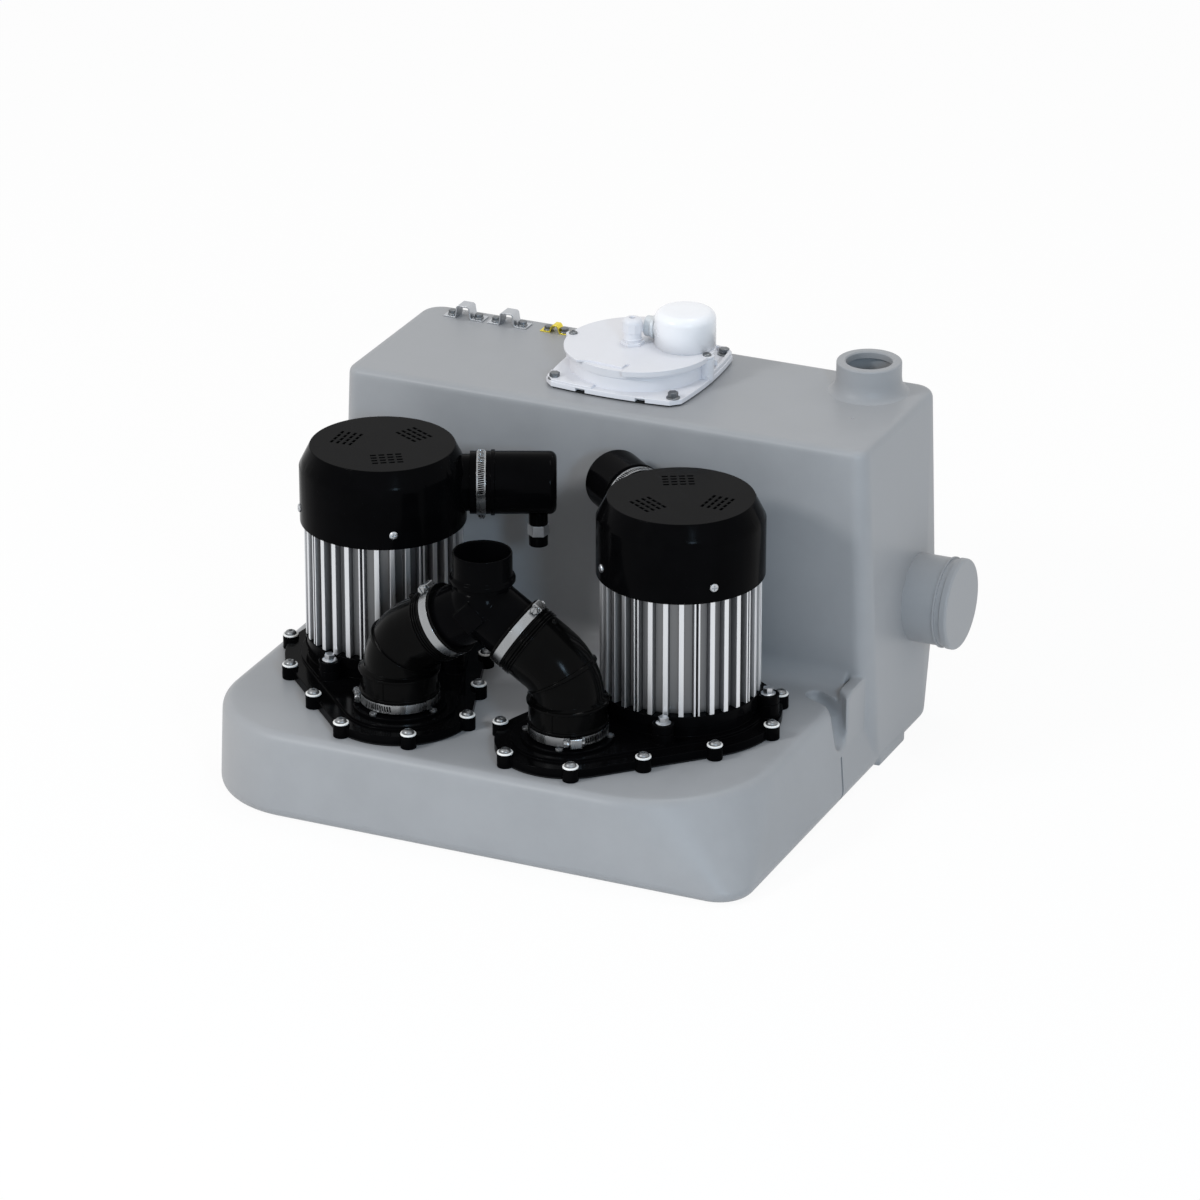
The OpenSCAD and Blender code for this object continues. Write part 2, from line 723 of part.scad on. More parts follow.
module impeller(side) {
    shroud = 4;
    color("#b5824a") at_pump(side) difference() {
        union() {
            bar(15, shaft_bottom, shaft_bottom + vane_height + shroud);
            bar(impeller_r, shaft_bottom + vane_height, shaft_bottom + vane_height + shroud);
            for (i = [1:vane_count]) rotate(i * 360 / vane_count)
                translate([0, 0, shaft_bottom]) vane();
        }
        bar(shaft_r + fit, shaft_bottom - cut, shaft_bottom + vane_height + shroud + cut);
    }
}

module shaft(side) {
    color("silver") at_pump(side) {
        bar(shaft_r, shaft_bottom, shaft_top);
        bar(shaft_r + 5, shaft_bottom - 5, shaft_bottom);
    }
}

module rotor_core(side) {
    color("#8d8f92") at_pump(side) ring(stator_bore_r - air_gap, shaft_r + fit,
        stator_bottom, stator_bottom + stator_height);
}

module shaft_seals() {
    color("#3a3a3a") for (side = SIDES) at_pump(side)
        ring(seal_r, shaft_r + running_fit, plate_bottom, boss_top);
}

module motor_bearings() {
    color("silver") for (side = SIDES) at_pump(side) for (z = [bearing_low, bearing_high])
        ring(bearing_r, shaft_r + running_fit, z, z + bearing_width);
}

module bearing_bracket(side) {
    register = 4;
    color("#1b1c1e") at_pump(side) difference() {
        union() {
            bar(fin_r + 0.5, bracket_bottom, motor_bottom);
            bar(motor_bore / 2 - fit, bracket_bottom, motor_bottom + register);
            at_motor_bolts() bar(lug_r, bracket_bottom, motor_bottom - 2.5);
        }
        bar(shaft_r + 2, bracket_bottom - cut, motor_bottom + register + cut);
        bar(bearing_r + fit, bearing_low, motor_bottom + register + cut);
        bar(motor_bore / 2 - 12, bearing_low + bearing_width + 2,
            motor_bottom + register + cut);
        at_motor_bolts() bar(motor_bolt_d / 2 + screw_play, bracket_bottom - cut,
            motor_bottom + cut);
    }
}

module stator(side) {
    color("#b87333") at_pump(side) ring(motor_bore / 2 - fit, stator_bore_r,
        stator_bottom, stator_bottom + stator_height);
}

// The outline of the extruded motor body: plain fins and, every fourth, a screw channel
function plain_fin(a) = [beside(fin_root_r, -fin_width / 2, a), beside(fin_r, -fin_width / 2, a),
    beside(fin_r, fin_width / 2, a), beside(fin_root_r, fin_width / 2, a)];
function channel_fin(a) = let (o = channel_slot / 2 + channel_wall, s = channel_slot / 2)
    [beside(fin_root_r, -o, a), beside(fin_r, -o, a), beside(fin_r, -s, a),
     beside(fin_root_r, -s, a), beside(fin_root_r, s, a), beside(fin_r, s, a),
     beside(fin_r, o, a), beside(fin_root_r, o, a)];
function fin_outline() = [for (i = [0:fin_count - 1])
    for (p = i % 4 == 2 ? channel_fin(i * 360 / fin_count) : plain_fin(i * 360 / fin_count)) p];

module motor_body(side) {
    color("#c9cbcd") difference() {
        at_pump(side) translate([0, 0, motor_bottom]) linear_extrude(motor_height)
            polygon(fin_outline());
        at_pump(side) bar(motor_bore / 2, motor_bottom - cut, motor_top + cut);
        at_cover_screws(side) bar(2 + screw_play, motor_bore / 2 + 2, cover_r);
    }
}

module end_shields() {
    color("#a9abad") for (side = SIDES) at_pump(side) difference() {
        bar(motor_bore / 2 - fit, shield_bottom, shield_bottom + shield_thickness);
        bar(shaft_r + 2, shield_bottom - cut, shield_bottom + shield_thickness + cut);
        bar(bearing_r + fit, bearing_high, shield_bottom + shield_thickness + cut);
    }
}

module motor_bolts() {
    z = motor_bottom - 2.5;
    color("silver") for (side = SIDES) at_pump(side) at_motor_bolts() {
        bar(motor_bolt_d / 2, plate_bottom + 6, z + 1);
        bar(motor_bolt_d * 1.35, z, z + 1.5);
        translate([0, 0, z + 1]) cylinder(r = motor_bolt_d * 1.05, h = 6, $fn = 6);
    }
}

module fan(side) {
    color("#2d2f31") at_pump(side) difference() {
        union() {
            bar(shaft_r + 5, fan_bottom, fan_bottom + fan_height);
            bar(fan_r, fan_bottom, fan_bottom + 2.5);
            for (i = [1:blade_count]) rotate(i * 360 / blade_count)
                translate([shaft_r + 2, -1.25, fan_bottom])
                    cube([fan_r - shaft_r - 4, 2.5, fan_height]);
        }
        bar(shaft_r + fit, fan_bottom - cut, fan_bottom + fan_height + cut);
    }
}

// Places a shape at each cover screw, with its +Z pointing outwards
module at_cover_screws(side) {
    first = side == LEFT ? screw_angle_left : screw_angle_right;
    turns = side == LEFT ? [0, 180, 270] : [0, 90, 270];
    translate([side * pump_spacing / 2, 0, cover_screw_z]) for (a = turns)
        rotate(first + a) rotate([0, 90, 0]) children();
}

module cover_outer() {
    rotate_extrude() polygon([[0, cover_bottom], [cover_r, cover_bottom],
        [cover_r, cover_shoulder], [cover_top_r, cover_top], [0, cover_top]]);
}

module cover_inner() {
    rotate_extrude() polygon([[0, cover_bottom - cut], [cover_r - cover_wall,
        cover_bottom - cut], [cover_r - cover_wall, cover_shoulder - 1],
        [cover_top_r - 2.5, cover_top - cover_wall], [0, cover_top - cover_wall]]);
}

// Three groups of slots in the flat top of the fan cover
module vent_slots() {
    for (g = [0:120:240]) rotate(g) translate([slot_circle, 0, cover_top - 2 * cover_wall])
        for (row = [-1.5:1.5], col = [-1.5:1.5])
            translate([row * slot_pitch * 0.8 - slot_width / 2,
                col * slot_pitch - slot_length / 2, 0])
                cube([slot_width, slot_length, 3 * cover_wall]);
}

module fan_cover(side) {
    neck_r = cap_r - cap_wall - fit;
    color("#1b1c1e") difference() {
        union() {
            at_pump(side) cover_outer();
            at_cap(side) bar(neck_r, cover_r - 30, cap_start + 19);
        }
        at_pump(side) cover_inner();
        at_pump(side) vent_slots();
        at_cap(side) bar(neck_r - cap_wall, cover_r - 40, cap_start + 20);
        at_cover_screws(side) bar(2 + screw_play, motor_bore / 2, cover_r + cut);
    }
}

module cover_screws() {
    color("#6d6f72") for (side = SIDES) at_cover_screws(side) {
        bar(2, motor_bore / 2 + 3, cover_r + 1);
        bar(4.5, cover_r + 0.05, cover_r + 2);
    }
}

function cap_end(side) = cap_start + cap_length + (side == LEFT ? cap_extra_left : 0);
function cap_gland_at(side) = cap_end(side) - 20;

module capacitor_case(side) {
    end = cap_end(side);
    inner = cap_r - cap_wall;
    color("#161718") at_cap(side) difference() {
        union() {
            rotate_extrude() polygon(concat([[0, cap_start], [cap_r, cap_start]],
                arc([cap_r - cap_round, end - cap_round], cap_round, 0, 90, 8), [[0, end]]));
            bar(cap_r + 1.5, cap_start + 22.5, cap_start + 26.8);
        }
        bar(inner, cap_start - cut, cap_start + 26);
        bar(inner, cap_start + 30, end - 16);
        bar(can_r + fit, cap_start - cut, end - 9);
        translate([cap_r - 10, 0, cap_gland_at(side)]) rotate([0, 90, 0])
            bar(gland_r - 2, 0, 12);
    }
}

module run_capacitors() {
    color("#dcdcd8") for (side = SIDES) at_cap(side)
        bar(can_r, cap_start + 27, cap_end(side) - 10);
}

// A hose clamp about +Z at z = 0 with its screw housing turned to the angle a
module hose_clamp(r, a) {
    difference() {
        union() {
            bar(r + clamp_thickness, -clamp_width / 2, clamp_width / 2);
            rotate(a) translate([r, -9, -clamp_width / 2 - 0.5])
                cube([6, 18, clamp_width + 1]);
            rotate(a) translate([r + 4, 0, 0]) rotate([90, 0, 0]) bar(3.4, -8, 14);
        }
        bar(r, -clamp_width, clamp_width);
    }
}

module capacitor_clamps() {
    color("silver") for (side = SIDES) at_cap(side)
        translate([0, 0, cap_start + 12.5]) hose_clamp(cap_r + fit, 20);
}

module capacitor_glands() {
    color("#161718") for (side = SIDES) at_cap(side)
        translate([0, 0, cap_gland_at(side)]) rotate([0, 90, 0]) difference() {
            union() {
                bar(gland_r - 2 - fit, cap_r - 5, cap_r + gland_drop);
                bar(gland_r, cap_r + fit, cap_r + gland_drop * 0.36);
                bar(gland_r, cap_r + gland_drop * 0.68, cap_r + gland_drop);
            }
            bar(gland_r - 5, cap_r - 6, cap_r + gland_drop + cut);
        }
}

module gland_nuts() {
    color("silver") for (side = SIDES) at_cap(side)
        translate([0, 0, cap_gland_at(side)]) rotate([0, 90, 0])
            translate([0, 0, cap_r + gland_drop * 0.36]) difference() {
                cylinder(r = gland_r + 1.4, h = gland_drop * 0.32, $fn = 6);
                translate([0, 0, -cut]) cylinder(r = gland_r - 2, h = gland_drop);
            }
}

// Repeats a shape at the four screws of an outlet flange
module at_outlet_screws() {
    for (a = [45:90:315]) rotate(a) translate([flange_r - 5, 0, 0]) children();
}

// The hinge of the non-return flap
knuckle_r = flap_pin_d / 2 + 1.2;
knuckle_length = 10;
hinge_z = seat_top + knuckle_r + 0.3;

module outlet_flange(side) {
    ear = 4;
    color("#1b1c1e") at_outlet(side) difference() {
        union() {
            bar(flange_r, boss_top, flange_top);
            bar(spigot_r, boss_top, sleeve_top - 2);
        }
        difference() {
            bar(spigot_bore_r, flange_top, sleeve_top);
            for (s = SIDES) translate([flap_hinge_offset - flap_pin_d / 2 - 0.7,
                s * (knuckle_length / 2 + 0.3 + ear / 2) - ear / 2, boss_top])
                cube([12, ear, hinge_z + 3.2 - boss_top]);
        }
        bar(seat_r, boss_top - cut, flange_top + cut);
        translate([flap_hinge_offset, 0, hinge_z]) rotate([90, 0, 0])
            bar(flap_pin_d / 2 + running_fit, -knuckle_length / 2 - ear - 0.6,
                knuckle_length / 2 + ear + 0.6);
        rotate(angle_at_pump(side)) at_outlet_screws()
            bar(small_screw_d / 2 + screw_play, boss_top - cut, flange_top + cut);
    }
}

// Turns the outlet's own frame to the frame of its pump
function angle_at_pump(side) = -90 - side * pump_turn - (side == LEFT ? 180 : 0);

module outlet_screws() {
    color("#8d8f92") for (side = SIDES) at_pump(side) translate([outlet_reach, 0, 0])
        at_outlet_screws() {
            bar(small_screw_d / 2, plate_bottom + 4, flange_top + 1);
            bar(small_screw_d * 0.85, flange_top, flange_top + screw_head);
        }
}

module valve_flap(side) {
    color("#303235") at_outlet(side) difference() {
        union() {
            bar(flap_r, seat_top, seat_top + flap_thickness);
            translate([flap_hinge_offset - 12, -knuckle_length / 2, seat_top + 0.5])
                cube([12, knuckle_length, knuckle_r]);
            translate([flap_hinge_offset, 0, hinge_z]) rotate([90, 0, 0])
                bar(knuckle_r, -knuckle_length / 2, knuckle_length / 2);
        }
        translate([flap_hinge_offset, 0, hinge_z]) rotate([90, 0, 0])
            bar(flap_pin_d / 2 + running_fit, -knuckle_length, knuckle_length);
    }
}

module valve_pins() {
    color("silver") for (side = SIDES) at_outlet(side)
        translate([flap_hinge_offset, 0, hinge_z]) rotate([90, 0, 0])
            bar(flap_pin_d / 2, -knuckle_length / 2 - 4.3, knuckle_length / 2 + 4.3);
}

// Places a shape on the sloping arm of the right side, +Z away from the middle of the Y
module at_arm() {
    translate([0, outlet_y, wye_z]) rotate([0, 180 - bend_angle, 0]) children();
}

// The quarter bend, drawn as a bar of radius r
module bend(r) {
    translate([bend_x, outlet_y, sleeve_top]) rotate([90, 0, 0])
        rotate_extrude(angle = bend_angle) translate([bend_radius, 0]) circle(r = r);
}

module elbow(side) {
    bore = spigot_r - 4;
    color("#1d1e1f") for_side(side) difference() {
        union() {
            translate([outlet_x, outlet_y, 0]) bar(sleeve_r, sleeve_bottom,
                sleeve_top + lap);
            bend(bore + 5);
            at_arm() bar(cuff_r, arm_show, wye_reach + lap);
            at_arm() for (k = [1:3]) bar(cuff_r + 1.2, arm_length + 3 * k, arm_length + 3 * k + 1.5);
        }
        translate([outlet_x, outlet_y, 0]) bar(spigot_r + fit, flange_top - cut, sleeve_top - 1);
        translate([outlet_x, outlet_y, 0]) bar(bore - lap, sleeve_top - 2, sleeve_top + lap);
        bend(bore);
        at_arm() bar(arm_r + fit, arm_show - cut, arm_length + 1);
        at_arm() bar(bore - lap, arm_length, wye_reach + lap);
    }
}

module lower_clamps() {
    color("silver") for (side = SIDES) translate([side * outlet_x, outlet_y,
        flange_top + screw_head + clamp_width / 2 + 0.8])
        hose_clamp(sleeve_r + fit, side == LEFT ? -152 : -62);
}

module upper_clamps() {
    color("silver") for (side = SIDES) for_side(side) at_arm()
        translate([0, 0, arm_show + 8.5]) hose_clamp(cuff_r + fit, 180);
}

module y_piece() {
    inside = arm_r - pipe_wall;
    color("#1b1c1e") difference() {
        union() {
            translate([0, outlet_y, wye_z]) sphere(r = wye_ball_r);
            for (side = SIDES) for_side(side) at_arm() bar(arm_r, 0, arm_length);
            translate([0, outlet_y, 0]) bar(port_r, wye_z, port_top);
            translate([0, outlet_y, 0]) bar(port_r + 3.2, wye_z + 26, wye_z + 33);
        }
        translate([0, outlet_y, wye_z]) sphere(r = wye_ball_r - pipe_wall);
        for (side = SIDES) for_side(side) at_arm() bar(inside, 0, arm_length + cut);
        translate([0, outlet_y, 0]) bar(port_r - pipe_wall + 1, wye_z, port_top + cut);
    }
}

// Repeats a shape at the four bolts of the hatch base
module at_hatch_bolts() {
    for (x = SIDES, y = SIDES)
        translate([hatch_x + x * hatch_bolt_offset, hatch_y + y * hatch_bolt_offset, 0])
            children();
}

// Repeats a shape at the two lid screws
module at_lid_screws() {
    for (x = SIDES) translate([hatch_x + x * ear_circle, hatch_y, 0]) children();
}

module hatch_seal() {
    color("#2b2b2b") difference() {
        translate([hatch_x, hatch_y, tower_height]) linear_extrude(gasket_thickness)
            difference() {
                polygon(bowed(hatch_size - 4, hatch_bow, hatch_corner));
                circle(r = hatch_opening_r + 2);
            }
        at_hatch_bolts() bar(small_screw_d / 2 + 1, tower_height - cut, hatch_top);
    }
}

module hatch_base() {
    color("#dfe3e6") difference() {
        union() {
            translate([hatch_x, hatch_y, hatch_bottom]) linear_extrude(hatch_thickness)
                polygon(bowed(hatch_size, hatch_bow, hatch_corner));
            translate([hatch_x, hatch_y, 0]) bar(collar_r, hatch_bottom, collar_top);
            at_lid_screws() bar(ear_r - 1, hatch_bottom, collar_top);
        }
        translate([hatch_x, hatch_y, 0])
            bar(hatch_opening_r, hatch_bottom - cut, collar_top + cut);
        at_hatch_bolts() bar(small_screw_d / 2 + screw_play, hatch_bottom - cut,
            hatch_top + cut);
        at_lid_screws() bar(small_screw_d / 2 + screw_play, hatch_bottom + 2,
            collar_top + cut);
        for (x = [-52, 13]) translate([hatch_x + x, hatch_y - hatch_size / 2 - hatch_bow - cut,
            hatch_bottom - cut]) cube([11, 8, hatch_thickness * 0.65 + cut]);
    }
}

module hatch_bolts() {
    color("#4b4d50") at_hatch_bolts() {
        bar(small_screw_d / 2, tower_height - tank_wall - 4, hatch_top + 1);
        bar(small_screw_d * 1.2, hatch_top, hatch_top + 1);
        translate([0, 0, hatch_top + 1]) cylinder(r = small_screw_d, h = 4, $fn = 6);
    }
}

module lid_seal() {
    color("#2b2b2b") translate([hatch_x, hatch_y, 0])
        ring(hatch_opening_r + 8, hatch_opening_r + 2, collar_top, lid_bottom);
}

module hatch_lid() {
    color("#e6eaec") difference() {
        union() {
            translate([hatch_x, hatch_y, 0]) bar(lid_r, lid_bottom, lid_top);
            at_lid_screws() bar(ear_r, lid_bottom, lid_top);
        }
        at_lid_screws() bar(small_screw_d / 2 + screw_play, lid_bottom - cut, lid_top + cut);
        translate([lid_gland_at[0], lid_gland_at[1], 0])
            bar(lid_gland_r - 2 + fit, lid_bottom - cut, lid_top + cut);
        translate([dome_at[0], dome_at[1], 0]) bar(vent_r, lid_bottom - cut, lid_top + cut);
    }
}

module lid_screws() {
    color("#6d6f72") at_lid_screws() {
        bar(small_screw_d / 2, hatch_bottom + 4, lid_top + 1);
        bar(small_screw_d * 0.95, lid_top, lid_top + 3);
    }
}

module lid_gland() {
    color("#e6eaec") translate([lid_gland_at[0], lid_gland_at[1], 0]) difference() {
        union() {
            bar(lid_gland_r - 2, lid_bottom - 6, lid_top + lid_gland_height);
            bar(lid_gland_r, lid_top, lid_top + lid_gland_height * 0.35);
            bar(lid_gland_r, lid_top + lid_gland_height * 0.45, lid_top + lid_gland_height);
        }
        bar(lid_gland_r - 5, lid_bottom - 7, lid_top + lid_gland_height + cut);
    }
}

module vent_dome() {
    wall = 2.5;
    top = lid_top + dome_height;
    color("#e9edef") translate([dome_at[0], dome_at[1], 0]) difference() {
        capped_bar(dome_r, lid_top, top, dome_round);
        capped_bar(dome_r - wall, lid_top - cut, top - wall, dome_round - wall);
        translate([0, 0, lid_top + 15]) rotate([0, -90, 0]) bar(vent_r, 0, dome_r + cut);
    }
}

// A round bar with a rounded top edge
module capped_bar(r, z0, z1, f) {
    rotate_extrude() polygon(concat([[0, z0], [r, z0]], arc([r - f, z1 - f], f, 0, 90, 8),
        [[0, z1]]));
}
module vent_spigot() {
    color("#c9ccce") translate([dome_at[0], dome_at[1], lid_top + 15]) rotate([0, -90, 0]) {
        ring(vent_r - fit, vent_r - 2.5, dome_r - 8, dome_r + 12);
        ring(vent_r + 1.5, vent_r - 2.5, dome_r + 0.3, dome_r + 4);
    }
}

module level_tubes() {
    color("#d8d8d4") for (x = SIDES)
        translate([hatch_x + x * 30, hatch_y - 35, 0])
            ring(level_tube_r, level_tube_r - 1.5, tank_wall + level_tube_clearance, lid_bottom);
}

// A strap over a cable: feet, two sides and a round top, seen from the front
module strap(span, hump, rise) {
    r = hump / 2;
    foot = span / 2 + 7.5;
    t = clip_thickness;
    linear_extrude(clip_width, center = true)
        polygon(concat([[-foot, 0], [-r + t, 0]],
            arc([0, rise - r], r - t, 180, 0, 10), [[r - t, 0], [foot, 0], [foot, t], [r, t]],
            arc([0, rise - r], r, 0, 180, 10), [[-r, t], [-foot, t]]));
}

cable_clip_x = [-233.5, -180];
earth_clip_x = -122.5;
earth_clip_span = 19;
clip_screw_x = concat([for (x = cable_clip_x, s = SIDES) x + s * clip_span / 2],
    [earth_clip_x + earth_clip_span / 2]);

module at_clip_screws() {
    for (x = clip_screw_x) translate([x, clip_y, 0]) children();
}

module cable_clips() {
    color("#b9bcc0") difference() {
        for (x = cable_clip_x) translate([x, clip_y, tower_height]) rotate([90, 0, 0])
            strap(clip_span, clip_hump, clip_rise);
        at_clip_screws() bar(small_screw_d / 2 + screw_play, tower_height - cut,
            tower_height + 2 * clip_thickness);
    }
}

module earth_clip() {
    color("#c8a437") difference() {
        translate([earth_clip_x, clip_y, tower_height]) rotate([90, 0, 0])
            strap(earth_clip_span, 9, 8);
        at_clip_screws() bar(small_screw_d / 2 + screw_play, tower_height - cut,
            tower_height + 2 * clip_thickness);
    }
}

module clip_screws() {
    z = tower_height + clip_thickness;
    color("#8d8f92") at_clip_screws() {
        bar(small_screw_d / 2, tower_height - tank_wall - 4, z + 1);
        translate([0, 0, z]) cylinder(r = small_screw_d * 0.9, h = 3.5, $fn = 6);
    }
}

tank();
plate_gaskets();
pump_plate(LEFT);  // pump_plate_left
pump_plate(RIGHT);  // pump_plate_right
plate_washers();
plate_bolts();
pump_casing(LEFT);  // pump_casing_left
pump_casing(RIGHT);  // pump_casing_right
impeller(LEFT);  // impeller_left
impeller(RIGHT);  // impeller_right
shaft(LEFT);  // shaft_left
shaft(RIGHT);  // shaft_right
rotor_core(LEFT);  // rotor_core_left
rotor_core(RIGHT);  // rotor_core_right
shaft_seals();
motor_bearings();
bearing_bracket(LEFT);  // bearing_bracket_left
bearing_bracket(RIGHT);  // bearing_bracket_right
stator(LEFT);  // stator_left
stator(RIGHT);  // stator_right
motor_body(LEFT);  // motor_body_left
motor_body(RIGHT);  // motor_body_right
end_shields();
motor_bolts();
fan(LEFT);  // fan_left
fan(RIGHT);  // fan_right
fan_cover(LEFT);  // fan_cover_left
fan_cover(RIGHT);  // fan_cover_right
cover_screws();
capacitor_case(LEFT);  // capacitor_case_left
capacitor_case(RIGHT);  // capacitor_case_right
run_capacitors();
capacitor_clamps();
capacitor_glands();
gland_nuts();
outlet_flange(LEFT);  // outlet_flange_left
outlet_flange(RIGHT);  // outlet_flange_right
outlet_screws();
valve_flap(LEFT);  // valve_flap_left
valve_flap(RIGHT);  // valve_flap_right
valve_pins();
elbow(LEFT);  // elbow_left
elbow(RIGHT);  // elbow_right
lower_clamps();
upper_clamps();
y_piece();
hatch_seal();
hatch_base();
hatch_bolts();
lid_seal();
hatch_lid();
lid_screws();
lid_gland();
vent_dome();
vent_spigot();
level_tubes();
cable_clips();
earth_clip();
clip_screws();
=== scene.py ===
# %% [markdown]
# # A grey water lifting station
# A moulded tank has a low deck in front and a tower behind. Two vertical pumps stand on the
# deck and push the water through two rubber bends into one Y-piece. The solids come from the
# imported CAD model, which Blender loads as a fixed frame. This lesson gives each solid its
# surface: rounded edges, fasteners with real heads, and materials made from nodes.

# %% Load the frame
import math

import bmesh
import bpy
from mathutils import Matrix, Vector


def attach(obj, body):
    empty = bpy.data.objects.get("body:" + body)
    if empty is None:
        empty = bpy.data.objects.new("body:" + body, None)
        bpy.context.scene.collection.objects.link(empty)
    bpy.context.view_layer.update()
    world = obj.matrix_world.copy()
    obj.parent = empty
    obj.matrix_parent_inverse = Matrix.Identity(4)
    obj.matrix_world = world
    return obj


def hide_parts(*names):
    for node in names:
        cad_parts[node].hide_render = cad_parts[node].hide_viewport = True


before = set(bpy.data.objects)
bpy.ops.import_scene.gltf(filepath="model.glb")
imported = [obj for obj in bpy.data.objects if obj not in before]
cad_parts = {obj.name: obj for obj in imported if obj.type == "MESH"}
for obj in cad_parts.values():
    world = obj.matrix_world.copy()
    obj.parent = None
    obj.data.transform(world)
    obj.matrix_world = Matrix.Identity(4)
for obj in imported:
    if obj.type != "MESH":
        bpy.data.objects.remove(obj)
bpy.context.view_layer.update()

# %% [markdown]
# ## Camera and light
# The camera's place and lens were fitted to the two equal pumps, the upright edges of the tank
# and the level deck. A long lens from far away keeps upright lines nearly parallel. The object
# is lit by an even white room and three lamps, as in a product studio. The lamps are small, so
# their highlights on black plastic are crisp. The one on the right is cool, like a window.

# %% Camera
LENS = 186.166
AZIMUTH, ELEVATION = math.radians(24.19), math.radians(23.88)
EYE = Vector((2.54543, -5.48691, 2.87932))

back = Vector((math.sin(AZIMUTH) * math.cos(ELEVATION),
               -math.cos(AZIMUTH) * math.cos(ELEVATION), math.sin(ELEVATION)))
right = Vector((math.cos(AZIMUTH), math.sin(AZIMUTH), 0))
camera = bpy.data.objects.new("camera", bpy.data.cameras.new("camera"))
camera.data.lens = LENS
camera.data.sensor_width = 36
camera.data.clip_end = 60
camera.matrix_world = Matrix.Translation(EYE) @ Matrix(
    (right, back.cross(right), back)).transposed().to_4x4()
scene = bpy.context.scene
scene.collection.objects.link(camera)
scene.camera = camera
scene.view_settings.view_transform = "Standard"
print("camera looks down by", round(math.degrees(ELEVATION), 1), "degrees")

# %% [markdown]
# ## Small helpers for materials
# Hex colours are written as a screen shows them, and Blender's shaders want linear light. One
# function turns the first into the second, and one adds a node with its settings and links.

# %% Helpers for nodes
def linear(code):
    """The linear colour of an sRGB hex code such as 9b9b9b."""
    values = [int(code[i:i + 2], 16) / 255 for i in (0, 2, 4)]
    return [v / 12.92 if v <= 0.04045 else ((v + 0.055) / 1.055) ** 2.4 for v in values] + [1]


def add(tree, kind, sockets=None, **settings):
    """Adds a node. A socket's value is a number, a colour or another node's output."""
    made = tree.nodes.new("ShaderNode" + kind)
    for name, value in settings.items():
        setattr(made, name, value)
    for name, value in (sockets or {}).items():
        if isinstance(value, bpy.types.NodeSocket):
            tree.links.new(value, made.inputs[name])
        else:
            made.inputs[name].default_value = value
    return made


def either(tree, *values):
    """The larger of several values."""
    largest = values[0]
    for value in values[1:]:
        largest = add(tree, "Math", {0: largest, 1: value}, operation="MAXIMUM").outputs[0]
    return largest


# %% World
ROOM = 0.62  # the strength of the light that the room throws on the object
world = bpy.data.worlds.new("white studio")
scene.world = world
world.use_nodes = True
tree = world.node_tree
tree.nodes.clear()
plain = add(tree, "Background", {"Color": linear("ffffff"), "Strength": ROOM})
white = add(tree, "Background", {"Color": linear("ffffff"), "Strength": 1.0})
path = add(tree, "LightPath").outputs
seen = either(tree, path["Is Camera Ray"], path["Is Glossy Ray"], path["Is Transmission Ray"])
shown = add(tree, "MixShader", {0: seen, 1: plain.outputs[0], 2: white.outputs[0]})
add(tree, "OutputWorld", {"Surface": shown.outputs[0]})
print("room strength", ROOM)

# %% Floor
FLOOR_SIZE = 40
FLOOR_GLOW = 0.93  # the share of plain white that the camera sees in the paper
bm = bmesh.new()
bmesh.ops.create_grid(bm, x_segments=2, y_segments=2, size=FLOOR_SIZE / 2)
floor_mesh = bpy.data.meshes.new("floor")
bm.to_mesh(floor_mesh)
bm.free()
floor = bpy.data.objects.new("floor", floor_mesh)
scene.collection.objects.link(floor)
paper = bpy.data.materials.new("matt white paper")
paper.use_nodes = True
tree = paper.node_tree
tree.nodes.clear()
lit = add(tree, "BsdfDiffuse", {"Color": linear("fafafa")})
glow = add(tree, "Emission", {"Color": linear("ffffff"), "Strength": 1.0})
path = add(tree, "LightPath").outputs
seen = either(tree, path["Is Camera Ray"], path["Is Glossy Ray"])
share = add(tree, "Math", {0: seen, 1: FLOOR_GLOW}, operation="MULTIPLY")
both = add(tree, "MixShader", {0: share.outputs[0], 1: lit.outputs[0], 2: glow.outputs[0]})
add(tree, "OutputMaterial", {"Surface": both.outputs[0]})
floor_mesh.materials.append(paper)
print("floor of", FLOOR_SIZE, "m")

# %% Lamps
AIM = Vector((0, 0, 0.2))
LAMPS = {  # place, width, height, power, colour
    "key": ((-1.9, -2.6, 2.6), 0.8, 0.6, 52, (1, 1, 1)),
    "window": ((2.3, -2.6, 1.7), 0.4, 0.55, 31, (0.55, 0.78, 1)),
    "top": ((0.4, 0.9, 3.2), 0.9, 0.6, 12, (1, 1, 1)),
}
for name, (place, width, height, power, colour) in LAMPS.items():
    lamp = bpy.data.lights.new(name, "AREA")
    lamp.energy = power
    lamp.color = colour
    lamp.shape = "RECTANGLE"
    lamp.size = width
    lamp.size_y = height
    holder = bpy.data.objects.new(name, lamp)
    holder.location = place
    holder.rotation_euler = (AIM - Vector(place)).to_track_quat("-Z", "Y").to_euler()
    scene.collection.objects.link(holder)
print("lamps:", sorted(LAMPS))

# %% [markdown]
# ## Finishes
# Each finish starts from the real material and how its surface was made. A moulded surface
# has a fine grain, a slow change of shade and a gloss that is never quite even. All patterns
# read Object coordinates, so they stay on the piece, and their scales are real millimetres.

